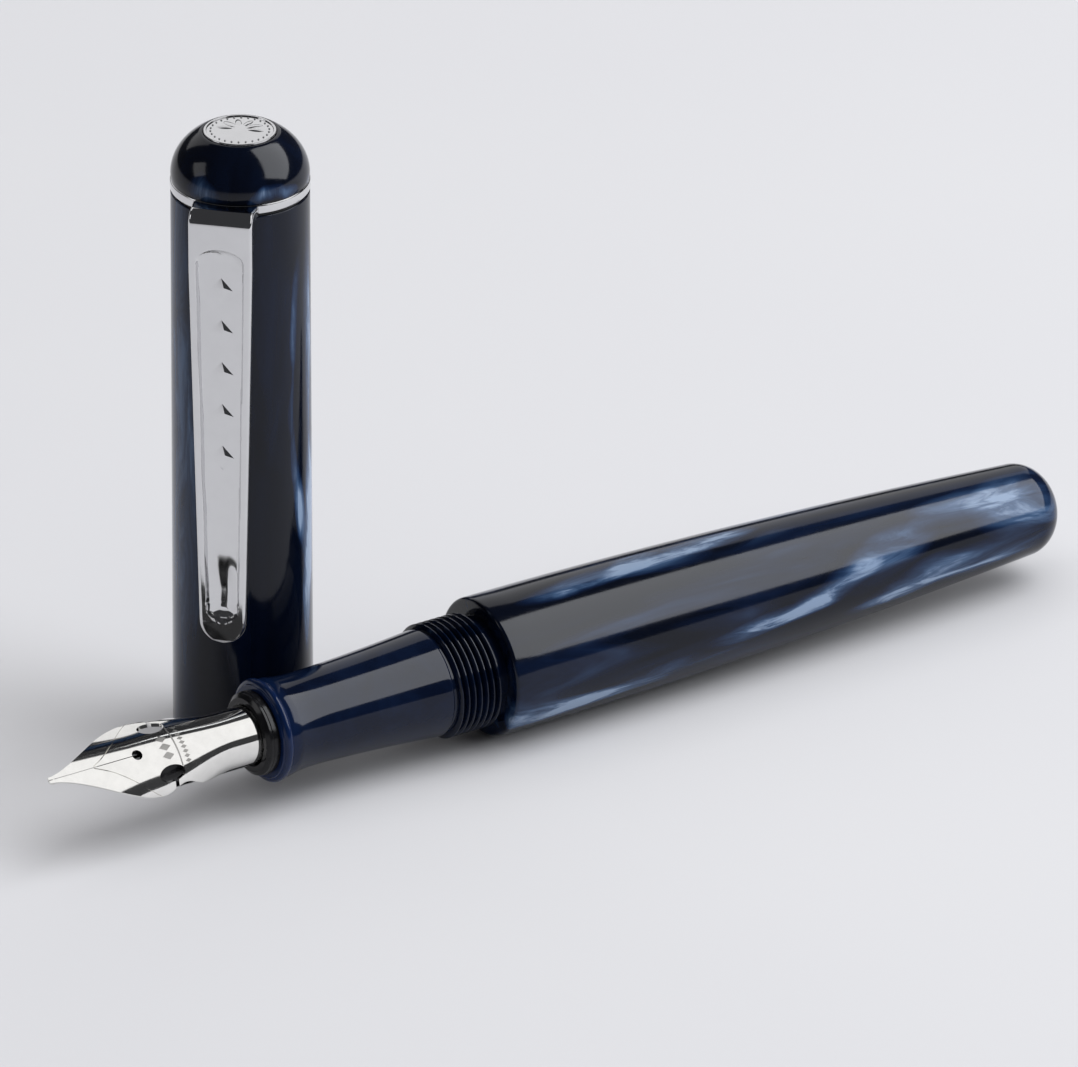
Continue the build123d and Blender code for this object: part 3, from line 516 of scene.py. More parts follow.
def moulded_plastic(name, dark, light, centre, gloss=(0.14, 0.22)):
    """Black moulded plastic with a very fine texture."""
    plastic = Finish(name, IOR=1.33)
    here = plastic.place(centre)
    cloud = plastic.noise(here, 0.8, detail=3.0).outputs["Fac"]
    grain = plastic.noise(here, 14.0, detail=2.0).outputs["Fac"]
    plastic.bump(grain, 0.001, 0.2)
    colour = plastic.ramp(cloud, (0.3, dark), (0.7, light))
    return plastic.done(colour, plastic.ramp(cloud, (0.3, gloss[0]), (0.7, gloss[1])))


def clear_plastic(name, centre):
    """Clear moulded tube, a little smoky."""
    plastic = Finish(name, IOR=1.49, Transmission_Weight=0.92)
    here = plastic.place(centre)
    cloud = plastic.noise(here, 0.5, detail=3.0).outputs["Fac"]
    colour = plastic.ramp(cloud, (0.3, (0.80, 0.84, 0.87)), (0.7, (0.92, 0.94, 0.95)))
    return plastic.done(colour, plastic.ramp(cloud, (0.3, 0.04), (0.7, 0.09)))


# ---- pen pieces ----------------------------------------------------------------------------------
BARREL_STRAIGHT = 3.0
BARREL_TAIL_RADIUS = 4.93
BARREL_END_DEPTH = 4.0
BARREL_BORE = 4.3
BARREL_END_WALL = 6.6
BARREL_MOUTH_RADIUS = 5.2
BARREL_TAPER_POWER = 1.82     # above 1, the taper starts gently and steepens
BARREL_END_POWER = 0.94       # below 1, the end is a little fuller than an ellipse
TENON_RADIUS = 4.72
TENON_THREAD_HEIGHT = 0.3
TENON_THREAD_ROOM = TENON_THREAD_HEIGHT + 0.04
SLEEVE_RADIUS = 3.74          # nib housing, inside the section
SLEEVE_BORE = 3.14
SEAL_GROOVE_RADIUS = 3.46
NIPPLE_RADIUS = 2.25
NIPPLE_LENGTH = 6.0
NIPPLE_BORE = 0.9
NIB_POCKET = 11.1
GRIP_FRONT_BORE = SLEEVE_RADIUS + 0.1
GRIP_REAR_BORE = 4.0
GRIP_FACE_RADIUS = 4.86
BEAD_CENTRE = 0.60            # the flared bead at the grip's front, behind its face
BEAD_HALF_LENGTH = 0.46
BEAD_FOOT_RADIUS = 4.94
BEAD_HEIGHT = 0.48
GRIP_CURVE_START = 1.15
GRIP_CURVE_END = 19.6
GRIP_END = 19.9
GRIP_END_RADIUS = 5.62
CAP_THREAD_CORE = 5.45
CAP_THREAD_CREST = 6.06


def make_barrel():
    tail = BARREL_LENGTH - BARREL_END_DEPTH
    taper_steps = 40
    end_steps = 16
    outline = [(0, BARREL_MOUTH_RADIUS), (0, BARREL_RADIUS, 0.36)]
    for step in range(taper_steps + 1):
        share = step / taper_steps
        drop = (BARREL_RADIUS - BARREL_TAIL_RADIUS) * share**BARREL_TAPER_POWER
        outline.append((BARREL_STRAIGHT + (tail - BARREL_STRAIGHT) * share, BARREL_RADIUS - drop))
    for step in range(1, end_steps + 1):
        angle = step / end_steps * pi / 2
        radius = BARREL_TAIL_RADIUS * cos(angle) ** BARREL_END_POWER
        outline.append((tail + BARREL_END_DEPTH * sin(angle), radius))
    bore_end = BARREL_LENGTH - BARREL_END_WALL
    thread_bore = TENON_RADIUS + TENON_THREAD_ROOM
    outline += [
        (BARREL_LENGTH, 0),
        (bore_end, 0),
        (bore_end, BARREL_BORE, 1.2),
        (TENON_END + 1.2, BARREL_BORE),
        (TENON_END + 0.6, thread_bore),
        (0.35, thread_bore),
        (0, BARREL_MOUTH_RADIUS),
    ]
    return turned("barrel_shell", outline, steps=128)


def make_section():
    front = SECTION_FRONT
    outline = [(front, GRIP_FRONT_BORE), (front, GRIP_FACE_RADIUS, 0.10)]
    bead_steps = 6
    for step in range(bead_steps + 1):
        angle = -pi / 2 + step / bead_steps * pi
        along = BEAD_CENTRE + BEAD_HALF_LENGTH * sin(angle)
        outline.append((front + along, BEAD_FOOT_RADIUS + BEAD_HEIGHT * max(0.0, cos(angle))))
    waist_steps = 30
    for step in range(1, waist_steps + 1):
        along = GRIP_CURVE_START + (GRIP_CURVE_END - GRIP_CURVE_START) * step / waist_steps
        outline.append((front + along, grip_radius(along)))
    sleeve_end = HOUSING_END - NIPPLE_LENGTH + 0.1
    neck_radius = 4.44
    neck_end = 1.7
    outline += [
        (front + GRIP_END, GRIP_END_RADIUS, 0.1),
        (front + GRIP_END + 0.2, CAP_THREAD_CORE),
        (0.0, CAP_THREAD_CORE),
        (0.0, neck_radius),
        (neck_end, neck_radius),
        (neck_end, TENON_RADIUS),
        (TENON_END, TENON_RADIUS, 0.2),
        (TENON_END, GRIP_REAR_BORE),
        (sleeve_end, GRIP_REAR_BORE),
        (sleeve_end, GRIP_FRONT_BORE),
    ]
    body = turned("grip_section", outline, steps=128, closed=True)
    cap_thread = thread("cap_thread", -6.1, 7, 0.75, CAP_THREAD_CORE, CAP_THREAD_CREST)
    barrel_thread = thread("barrel_thread", 2.5, 6, 1.0, TENON_RADIUS, TENON_RADIUS + TENON_THREAD_HEIGHT)
    return joined(body, cap_thread, barrel_thread)


def grip_radius(along):
    """Radius of the grip behind its front face: flared lip, waist, then a slow swell to the thread."""
    lip = 0.62 * max(0.0, 1 - (along - 0.75) / 5.6) ** 2.6
    swell = 0.83 * max(0.0, (along - 3.6) / 16.3) ** 1.6
    return 4.80 + lip + swell


def make_housing():
    face = HOUSING_FACE
    seat = SECTION_FRONT
    shoulder = HOUSING_END - NIPPLE_LENGTH
    outline = [
        (face + 0.12, SLEEVE_BORE),
        (face, 3.30),
        (face, 3.86, 0.05),
        (face + 0.34, HOUSING_RADIUS - 0.06, 0.12),
        (face + 0.62, HOUSING_RADIUS - 0.06),
        (face + 0.68, HOUSING_RADIUS, 0.04),
        (seat - 0.02, HOUSING_RADIUS, 0.05),
        (seat - 0.02, SLEEVE_RADIUS),
        (seat + 9.6, SLEEVE_RADIUS),
        (seat + 9.6, SEAL_GROOVE_RADIUS),
        (seat + 10.3, SEAL_GROOVE_RADIUS),
        (seat + 10.3, SLEEVE_RADIUS),
        (shoulder, SLEEVE_RADIUS, 0.2),
        (shoulder, NIPPLE_RADIUS),
        (HOUSING_END - 0.5, NIPPLE_RADIUS, 0.15),
        (HOUSING_END, 1.7),
        (HOUSING_END, NIPPLE_BORE),
        (face + NIB_POCKET, NIPPLE_BORE),
        (face + NIB_POCKET, SLEEVE_BORE),
    ]
    return turned("nib_collar", outline, steps=96, closed=True)


# ---- nib -----------------------------------------------------------------------------------------
NIB_RADIUS = 3.08
NIB_THICKNESS = 0.34
NIB_EXPOSED = 24.3
NIB_TUCKED = 9.5
NIB_SHOULDER = 12.2           # ahead of the housing
NIB_HOLE = 14.0               # ahead of the housing
NIB_HOLE_RADIUS = 0.56
NIB_HALF_WIDTH = 4.35         # at the shoulders
NIB_TIP_HALF_WIDTH = 0.33
NIB_STATION = 0.2             # spacing of the nib's cross-sections
SLIT_WIDTH = 0.075
PELLET_RADIUS = 0.42
KEYHOLE_PLACE = 10.9          # ahead of the housing
KEYHOLE_HEADING = radians(57)
GROOVE_START = 19.1           # ahead of the housing
GROOVE_END = 12.0
GROOVE_WIDTH = 0.12
GROOVE_FROM_SLIT = 0.012      # angle from the ridge, radians


def nib_bend(ahead):
    """Radius of the nib's curve across, at a distance ahead of the housing."""
    opening = smoothstep(ahead, 3.0, 13.0)
    tip = smoothstep(ahead, 12.0, 25.0)
    return NIB_RADIUS + opening * 2.8 + tip * 3.0


def nib_half_width(ahead):
    """Half of the nib's width seen square on, at a distance ahead of the housing."""
    if ahead <= NIB_SHOULDER:
        return NIB_RADIUS + (NIB_HALF_WIDTH - NIB_RADIUS) * smoothstep(ahead, 7.6, NIB_SHOULDER)
    from_tip = (NIB_EXPOSED - ahead) / (NIB_EXPOSED - NIB_SHOULDER)
    return NIB_TIP_HALF_WIDTH + (NIB_HALF_WIDTH - NIB_TIP_HALF_WIDTH) * sin(pi / 2 * from_tip**0.95) ** 1.7


def nib_reach(ahead):
    """Angle from the ridge to the nib's edge."""
    bend = nib_bend(ahead)
    tube = radians(95) * NIB_RADIUS / bend
    wing = asin(min(0.999, nib_half_width(ahead) / bend))
    return tube + (wing - tube) * smoothstep(ahead, 6.5, 10.5)


def nib_point(ahead, angle, inset):
    bend = nib_bend(ahead)
    out = bend - inset
    return (HOUSING_FACE - ahead, out * sin(angle), NIB_RADIUS - bend + out * cos(angle))


def make_nib():
    stations = [-NIB_TUCKED, -6, -3, 0]
    stations += [step * NIB_STATION for step in range(1, int(NIB_EXPOSED / NIB_STATION))]
    stations.append(NIB_EXPOSED - 0.01)
    columns = 72
    rings, pattern = [], []
    for ahead in stations:
        reach = nib_reach(ahead)
        thin = NIB_THICKNESS * (1 - 0.35 * smoothstep(ahead, 20.0, NIB_EXPOSED))
        ring, spots = [], []
        for inset, direction in ((0.0, 1), (thin, -1)):
            for col in range(columns + 1):
                angle = direction * reach * (2 * col / columns - 1)
                edge = 0.0
                if col in (0, columns):
                    edge = 0.07 if inset == 0.0 else -0.07
                ring.append(nib_point(ahead, angle, inset + edge))
                spots.append((ahead, nib_bend(ahead) * angle))
        rings.append(ring)
        pattern.append(spots)
    plate = skinned("nib_plate", rings, pattern)
    clear_selection()
    hole = Vector((HOUSING_FACE - NIB_HOLE, 0, 3)) * MM
    bpy.ops.mesh.primitive_cylinder_add(vertices=48, radius=NIB_HOLE_RADIUS * MM, depth=8 * MM, location=hole)
    cut(plate, bpy.context.object)
    clear_selection()
    slit = hole - Vector((6, 0, 0)) * MM
    bpy.ops.mesh.primitive_cube_add(size=MM, location=slit, scale=(12, SLIT_WIDTH, 6))
    cut(plate, bpy.context.object)
    for side in (1, -1):
        cut(plate, keyhole(side))
        cut(plate, groove(side))
    clear_selection()
    bpy.ops.mesh.primitive_uv_sphere_add(segments=32, ring_count=20, radius=PELLET_RADIUS * MM)
    pellet = named("pellet")
    pellet.scale = (1.15, 0.95, 0.8)
    put(pellet, (HOUSING_FACE - NIB_EXPOSED + 0.50, 0, NIB_RADIUS - 0.36))
    return joined(plate, pellet)


def keyhole(side):
    """Cutter for the cut in the nib's flank: an oval eye along the nib, with a slot out to the wing's edge."""
    clear_selection()
    bpy.ops.mesh.primitive_cylinder_add(vertices=48, radius=MM, depth=6 * MM)
    eye = bpy.context.object
    eye.scale = (1.5, 0.75, 1)
    settle(eye)
    clear_selection()
    bpy.ops.mesh.primitive_cube_add(size=MM, location=(0.35 * MM, -2.4 * MM, 0), scale=(0.42, 4.8, 6))
    slot = bpy.context.object
    settle(slot)
    cut(eye, slot, "UNION")
    eye.location = (0, 0, 4 * MM)
    settle(eye)
    if side < 0:
        eye.scale = (1, -1, 1)
        settle(eye)
        bpy.ops.object.mode_set(mode="EDIT")
        close_up()
    return put(eye, (HOUSING_FACE - KEYHOLE_PLACE, 0, 0.6), (side * KEYHOLE_HEADING, 0, 0))


def groove(side):
    """Cutter for the engraved line from the slit back to a shoulder: a thin wire laid in the nib's face."""
    wire = []
    steps = 48
    corners = 6
    for step in range(steps + 1):
        share = step / steps
        ahead = GROOVE_START + (GROOVE_END - GROOVE_START) * share
        past_edge = nib_reach(ahead) * 1.06
        angle = side * (GROOVE_FROM_SLIT + (past_edge - GROOVE_FROM_SLIT) * share**0.9)
        centre = Vector(nib_point(ahead, angle, 0.0))
        out = Vector((0, sin(angle), cos(angle)))
        across = Vector((0.55, 0.83 * side * cos(angle), -0.83 * side * sin(angle)))
        ring = []
        for corner in range(corners):
            turn = corner / corners * 2 * pi
            ring.append(centre + (out * cos(turn) + across * sin(turn)) * GROOVE_WIDTH)
        wire.append(ring)
    return skinned("wire", wire)


# ---- converter, hidden in the barrel -------------------------------------------------------------
def span(node):
    """Where a piece that is turned about the pen's axis starts and ends along it, and its radius."""
    return low(node, X) - PEN.x, high(node, X) - PEN.x, (high(node, Y) - low(node, Y)) / 2


def make_mouth():
    start, end, radius = span("converter_mouth")
    bore = 2.32
    socket = 3.47
    outline = [
        (start, bore, 0.1),
        (start, radius, 0.3),
        (start + 1.2, radius, 0.1),
        (start + 1.4, radius - 0.12, 0.05),
        (start + 1.7, radius - 0.12, 0.05),
        (start + 1.9, radius, 0.1),
        (end, radius, 0.12),
        (end, socket),
        (end - 2.5, socket),
        (end - 2.5, bore),
    ]
    return turned("converter_socket", outline, steps=96, closed=True)


def make_reservoir():
    start, end, radius = span("converter_reservoir")
    bore = radius - 0.5
    neck = 1.3
    outline = [
        (start, neck),
        (start, radius, 0.12),
        (end, radius, 0.12),
        (end, bore),
        (start + 0.55, bore, 0.2),
        (start + 0.55, neck),
    ]
    return turned("ink_tube", outline, steps=96, closed=True)


def make_collar():
    start, end, radius = span("converter_collar")
    bore = radius - 0.15
    outline = [
        (start, bore),
        (start, radius, 0.06),
        (start + 0.7, radius, 0.04),
        (start + 0.8, radius - 0.06),
        (start + 1.0, radius - 0.06),
        (start + 1.1, radius, 0.04),
        (end - 0.5, radius, 0.04),
        (end - 0.4, radius - 0.05),
        (end, radius - 0.05, 0.03),
        (end, bore),
    ]
    return turned("converter_band", outline, steps=96, closed=True)


def make_knob():
    """The ribbed turning knob: a turned body cut by one groove, repeated round it."""
    start, end, radius = span("converter_knob")
    grip = end - 15.0
    shank = 3.41
    bore = 1.52
    outline = [
        (start, bore),
        (start, shank),
        (grip, shank),
        (grip, radius, 0.25),
        (end, radius, 0.3),
        (end, radius - 0.9),
        (end - 0.4, radius - 0.9),
        (end - 0.4, 0),
        (end - 0.8, 0),
        (end - 0.8, bore),
    ]
    body = turned("turning_knob", outline, steps=144, closed=True)
    ribs = 24
    centre = radius + 0.03
    grooves = []
    for rib in range(ribs):
        clear_selection()
        bpy.ops.mesh.primitive_cylinder_add(vertices=12, radius=0.2 * MM, depth=12.6 * MM)
        rod = named("groove")
        angle = 2 * pi * rib / ribs
        place = ((grip + end) / 2, centre * sin(angle), centre * cos(angle))
        grooves.append(put(rod, place, (0, pi / 2, 0)))
    return cut(body, joined(grooves[0], *grooves[1:]))


def make_button():
    start, end, radius = span("knob_button")
    outline = [(start, 0), (start, radius), (end - 0.5, radius, 0.15), (end, radius - 0.5, 0.25), (end, 0)]
    return turned("knob_cap", outline, steps=96)


# ---- cap pieces ----------------------------------------------------------------------------------
CAP_TOP_RADIUS = 7.0
STUD_HOLE = 1.76
LUG_PLACE = (7.2, 0, 60.75)   # the lug on the clip ring that the clip springs from
LUG_SIZE = (0.9, 4.6, 0.4)
DOME_BELT = 0.55              # straight part at the dome's foot
DOME_CROWN = 5.45             # half height of the dome's ellipse
BEAD_RING_RADIUS = 2.95
# heading, length, width and distance out of each leaf of the badge, the heading in degrees
LEAVES = [
    (-52, 1.15, 0.42, 1.35),
    (52, 1.15, 0.42, 1.35),
    (-18, 0.95, 0.34, 1.5),
    (18, 0.95, 0.34, 1.5),
    (-88, 1.0, 0.34, 1.4),
    (88, 1.0, 0.34, 1.4),
]


def make_cap_tube():
    top = CAP_HEIGHT
    wall_top = top - 3.4
    bore = 5.85
    mouth_bore = 6.22
    outline = [
        (0, 6.6),
        (0, CAP_MOUTH_RADIUS, 0.3),
        (top, CAP_TOP_RADIUS, 0.08),
        (top, STUD_HOLE),
        (wall_top, STUD_HOLE),
        (wall_top, bore),
        (7.6, bore),
        (7.2, mouth_bore),
        (0.3, mouth_bore),
    ]
    return turned("cap_shell", outline, axis="Z", steps=128, closed=True)


def make_dome():
    outline = [(DOME_FOOT, 1.6), (DOME_FOOT, DOME_RADIUS - 0.05, 0.12)]
    height = DOME_TOP - DOME_FOOT - DOME_BELT
    steps = 28
    for step in range(steps + 1):
        angle = asin(height / DOME_CROWN) * step / steps
        outline.append((DOME_FOOT + DOME_BELT + DOME_CROWN * sin(angle), DOME_RADIUS * cos(angle)))
    outline += [
        (DOME_TOP, 3.72, 0.06),
        (DOME_TOP - 0.72, 3.72),
        (DOME_TOP - 0.72, 0),
        (DOME_FOOT + 3.1, 0),
        (DOME_FOOT + 3.1, 1.6),
    ]
    return turned("finial_crown", outline, axis="Z", steps=128, closed=True)


def make_bezel():
    inner, outer = 3.38, 3.68
    foot, top = DOME_TOP - 0.7, DOME_TOP + 0.16
    outline = [(foot, inner), (foot, outer), (top, outer, 0.12), (top, inner, 0.06)]
    return turned("finial_rim", outline, axis="Z", steps=96, closed=True)


def make_medallion():
    """A slightly domed disc with a spray of leaves and a ring of beads in relief."""
    rim = DOME_TOP + 0.05
    rise = MEDALLION_TOP - rim - 0.10
    outline = [(DOME_TOP - 0.7, 0), (DOME_TOP - 0.7, MEDALLION_RADIUS), (rim - 0.05, MEDALLION_RADIUS)]
    steps = 16
    for step in range(steps):
        out = MEDALLION_RADIUS * (1 - step / steps)
        outline.append((rim + rise * (1 - (out / MEDALLION_RADIUS) ** 2), out))
    outline.append((rim + rise, 0))
    disc = turned("finial_badge", outline, axis="Z", steps=96)
    relief = []
    for heading, long, wide, out in LEAVES:
        relief.append(leaf(heading, long, wide, out, rim + rise))
    beads = 26
    for bead in range(beads):
        angle = 2 * pi * bead / beads
        clear_selection()
        bpy.ops.mesh.primitive_ico_sphere_add(subdivisions=2, radius=0.11 * MM)
        place = (BEAD_RING_RADIUS * cos(angle), BEAD_RING_RADIUS * sin(angle), rim + 0.28 * rise)
        relief.append(put(named("bead"), place))
    return joined(disc, *relief)


def leaf(heading, long, wide, out, top):
    """One leaf of the badge: a long flattened ball that thins towards its ends."""
    clear_selection()
    bpy.ops.mesh.primitive_uv_sphere_add(segments=24, ring_count=16, radius=MM)
    blade = named("leaf")
    for vertex in blade.data.vertices:
        share = vertex.co.z / MM
        vertex.co.x *= 1 - 0.45 * abs(share) ** 1.5
    blade.rotation_euler = (0, pi / 2, 0)
    settle(blade)
    blade.scale = (long, wide, 0.17)
    settle(blade)
    angle = radians(heading) + CLIP_HEADING + pi
    return put(blade, (out * cos(angle), out * sin(angle), top - 0.10), (0, 0, angle))


def make_washer():
    rim = CAP_TOP_RADIUS - 0.18
    outline = [(CAP_HEIGHT, STUD_HOLE), (CAP_HEIGHT, rim), (RING_FOOT, rim), (RING_FOOT, STUD_HOLE)]
    return turned("clip_spacer", outline, axis="Z", steps=96, closed=True)


def make_clip_ring():
    outer = CAP_TOP_RADIUS + 0.05
    outline = [
        (RING_FOOT, STUD_HOLE),
        (RING_FOOT, outer, 0.16),
        (DOME_FOOT, outer, 0.16),
        (DOME_FOOT, STUD_HOLE),
    ]
    band = turned("clip_band", outline, axis="Z", steps=128, closed=True)
    clear_selection()
    bpy.ops.mesh.primitive_cube_add(size=MM, location=Vector(LUG_PLACE) * MM, scale=LUG_SIZE)
    lug = named("lug")
    settle(lug)
    return joined(band, lug)


# ---- clip arm ------------------------------------------------------------------------------------
ARM_TOP = 61.45
ARM_ROOT = 6.30               # radius where the arm's sheet leaves the ring
BEND_START = 7.72
BEND_RADIUS = 1.5
ARM_FACE_END = 9.03           # radius of the face at the clip's end
ARM_THICKNESS = 1.05
ARM_HALF_TOP = 3.25
ARM_HALF_END = 2.4
TAPER_TOP = 55.0              # the arm keeps its full width above this
PANEL_BORDER = 0.72
PANEL_WALL = 0.30
ARCH_WALL = 1.5
PANEL_DEPTH = 0.50
PANEL_TOP = 57.7
PANEL_END = 15.9
EDGE_ROUND = 0.32
DIAMONDS = 5
DIAMOND_FIRST = 52.9
DIAMOND_PITCH = 4.65


def arm_stations():
    """Places down the middle of the clip's face: (out, up, normal out, normal up)."""
    places = []
    for step in range(8):
        places.append((ARM_ROOT + (BEND_START - ARM_ROOT) * step / 8, ARM_TOP, 0.0, 1.0))
    centre_up = ARM_TOP - BEND_RADIUS
    for step in range(24):
        angle = pi / 2 * (1 - step / 24)
        out = BEND_START + BEND_RADIUS * cos(angle)
        places.append((out, centre_up + BEND_RADIUS * sin(angle), cos(angle), sin(angle)))
    face_top = BEND_START + BEND_RADIUS
    straight = 380
    round_start = CLIP_END + ARM_HALF_END
    for step in range(straight + 1):
        up = centre_up + (round_start - centre_up) * step / straight
        share = (centre_up - up) / (centre_up - CLIP_END)
        places.append((face_top + (ARM_FACE_END - face_top) * share, up, 1.0, 0.0))
    for step in range(1, 33):
        up = round_start - ARM_HALF_END * sin(pi / 2 * step / 32)
        places.append((ARM_FACE_END, up, 1.0, 0.0))
    return places


def arm_half_width(out, up, bent):
    """Half of the clip's width: flared where it leaves the ring, tapering down to the round end."""
    flare = 0.12 * (1 - smoothstep(out, ARM_ROOT, ARM_ROOT + 1.7)) if bent else 0.0
    round_start = CLIP_END + ARM_HALF_END
    if up < round_start:
        return sqrt(max(0.0, ARM_HALF_END**2 - (round_start - up) ** 2))
    share = (TAPER_TOP - up) / (TAPER_TOP - round_start)
    taper = 1.0 if share <= 0 else 1.0 - (1 - ARM_HALF_END / ARM_HALF_TOP) * share
    return ARM_HALF_TOP * taper + flare


def panel_sink(across, up, half):
    """How far the clip's face is sunk: an arched panel that deepens like a boat at its lower end."""
    wide = half - PANEL_BORDER if up > PANEL_END + 2 else ARM_HALF_END - PANEL_BORDER
    if abs(across) >= wide or up > PANEL_TOP or up < PANEL_END:
        return 0.0
    arch = 0.62 * wide
    bow = sqrt(1 - (across / wide) ** 2)
    under_arch = PANEL_TOP - arch + arch * bow - up
    inside = min(wide - abs(across), under_arch, up - (PANEL_END + wide - wide * bow))
    slope = min(1.0, max(0.0, under_arch / ARCH_WALL)) ** 0.8
    sink = PANEL_DEPTH * smoothstep(inside, 0.0, PANEL_WALL) * slope
    scoop = smoothstep(inside, 0.0, 1.5) * (1 - smoothstep(up, PANEL_END + 3.5, PANEL_END + 8.5))
    return sink + 0.30 * scoop


def make_clip_arm():
    columns = 80
    rings = []
    for out, up, normal_out, normal_up in arm_stations():
        bent = normal_up > 0
        half = max(0.02, arm_half_width(out, up, bent))
        ring = []
        for col in range(columns + 1):
            across = half * sin(pi / 2 * (2 * col / columns - 1))
            edge = min(EDGE_ROUND, half)
            near = half - abs(across)
            drop = edge - sqrt(max(0.0, edge**2 - (edge - near) ** 2)) if near < edge else 0.0
            sunk = drop + (0.0 if bent else panel_sink(across, up, half))
            if up < CLIP_END + EDGE_ROUND:
                sunk += 0.2 * (1 - (up - CLIP_END) / EDGE_ROUND)
            ring.append((out - normal_out * sunk, across, up - normal_up * sunk))
        for col in range(9):
            across = half * (1 - col / 4)
            depth = ARM_THICKNESS if 0 < col < 8 else ARM_THICKNESS - 0.1
            ring.append((out - normal_out * depth, across, up - normal_up * depth))
        rings.append(ring)
    arm = skinned("clip_blade", rings)
    gems = []
    for step in range(DIAMONDS):
        up = DIAMOND_FIRST - DIAMOND_PITCH * step
        share = (ARM_TOP - BEND_RADIUS - up) / (ARM_TOP - BEND_RADIUS - CLIP_END)
        face = BEND_START + BEND_RADIUS + (ARM_FACE_END - BEND_START - BEND_RADIUS) * share
        clear_selection()
        bpy.ops.mesh.primitive_cone_add(vertices=4, radius1=MM, radius2=0.02 * MM, depth=0.34 * MM)
        gem = named("diamond")
        for vertex in gem.data.vertices:
            if vertex.co.z > 0:
                vertex.co += Vector((-0.30, 0.26, 0)) * MM
        gem.scale = (1.5, 1.3, 1)
        settle(gem)
        gems.append(put(gem, (face - PANEL_DEPTH + 0.14, 0, up), (0, pi / 2, 0)))
    clear_selection()
    bpy.ops.mesh.primitive_uv_sphere_add(segments=32, ring_count=20, radius=1.1 * MM)
    foot = named("foot")
    foot.scale = (0.42, 1, 1)
    put(foot, (ARM_FACE_END - ARM_THICKNESS - 0.26, 0, CLIP_END + 2.7))
    return joined(arm, *gems, foot)


# ---- stage ---------------------------------------------------------------------------------------
def make_stage():
    clear_selection()
    bpy.ops.mesh.primitive_plane_add(size=3.0, location=(0, 0, -0.0002))
    floor = named("studio_floor")
    settle(floor)
    paper = Finish("studio_paper", Roughness=0.9, IOR=1.2)
    cloud = paper.noise(paper.place(), 0.01, detail=2.0).outputs["Fac"]
    shade = paper.ramp(cloud, (0.3, (0.505, 0.502, 0.514)), (0.7, (0.515, 0.512, 0.521)))
    floor.data.materials.append(paper.done(shade))
    return floor


def add_softbox(name, toward, distance, size, glow, along=(1, 0, 0), colour=(0.99, 0.99, 1.0)):
    """A rectangular soft light that looks back at the object, its first side as near as can be to along.

    glow is how bright its face looks; the power follows from the face's area.
    """
    back = Vector(toward).normalized()
    first = Vector(along)
    first = (first - back * first.dot(back)).normalized()
    second = back.cross(first)
    light = bpy.data.lights.new(name, "AREA")
    light.shape = "RECTANGLE"
    light.size, light.size_y = size
    light.energy = glow * pi * size[0] * size[1]
    light.color = colour
    lamp = bpy.data.objects.new(name, light)
    bpy.context.scene.collection.objects.link(lamp)
    pose = Matrix((first, second, back)).transposed().to_4x4()
    pose.translation = Vector((0, 0, 0.03)) + back * distance
    lamp.matrix_world = pose
    return lamp


def light_only(lamp, pieces, leave_out=False):
    """Keeps a lamp's light to the given pieces, or away from them."""
    group = bpy.data.collections.new(lamp.name + "_pieces")
    for piece in pieces:
        group.objects.link(piece)
    lamp.light_linking.receiver_collection = group
    for entry in group.collection_objects:
        entry.light_linking.link_state = "EXCLUDE" if leave_out else "INCLUDE"


def make_lights(metals, floor):
    right = (0.60, -0.44, 0.70)
    box = (0.85, 1.22)
    bright_box = add_softbox("right_softbox", right, 1.0, box, 4.4, colour=(0.95, 0.97, 1.0))
    metal_box = add_softbox("metal_softbox", right, 1.0, box, 1.0)
    add_softbox("back_softbox", (0.30, 0.80, 0.52), 1.3, (1.6, 0.9), 0.85)
    add_softbox("left_softbox", (-0.80, 0.36, 0.46), 1.2, (0.5, 0.45), 1.6)
    fill = add_softbox("floor_fill", (0.0, 0.0, 1.0), 1.5, (2.4, 2.4), 1.5)
    light_only(bright_box, metals, leave_out=True)
    light_only(metal_box, metals)
    light_only(fill, [floor])
    world = bpy.data.worlds.new("studio")
    bpy.context.scene.world = world
    world.use_nodes = True
    background = world.node_tree.nodes["Background"].inputs
    background["Color"].default_value = (0.55, 0.56, 0.60, 1)
    background["Strength"].default_value = 0.08
    bpy.context.scene.view_settings.view_transform = "Standard"


def make_camera():
    """A long lens from front left, looking down on the pen."""
    azimuth, elevation, roll = radians(33.334), radians(26.479), radians(0.322)
    distance = 1.32203
    target = Vector((7.851, 0.922, 12.7)) + PEN
    lens = bpy.data.cameras.new("camera")
    lens.lens = 434.2
    lens.sensor_width = 36
    lens.sensor_fit = "HORIZONTAL"
    lens.clip_start = 0.05
    lens.clip_end = 20
    camera = bpy.data.objects.new("camera", lens)
    bpy.context.scene.collection.objects.link(camera)
    forward = Vector((sin(azimuth) * cos(elevation), cos(azimuth) * cos(elevation), -sin(elevation)))
    right = forward.cross(Vector((0, 0, 1))).normalized()
    up = right.cross(forward)
    level = right * cos(roll) + up * sin(roll)
    upright = up * cos(roll) - right * sin(roll)
    pose = Matrix((level, upright, -forward)).transposed().to_4x4()
    pose.translation = target * MM - forward * distance
    camera.matrix_world = pose
    bpy.context.scene.camera = camera


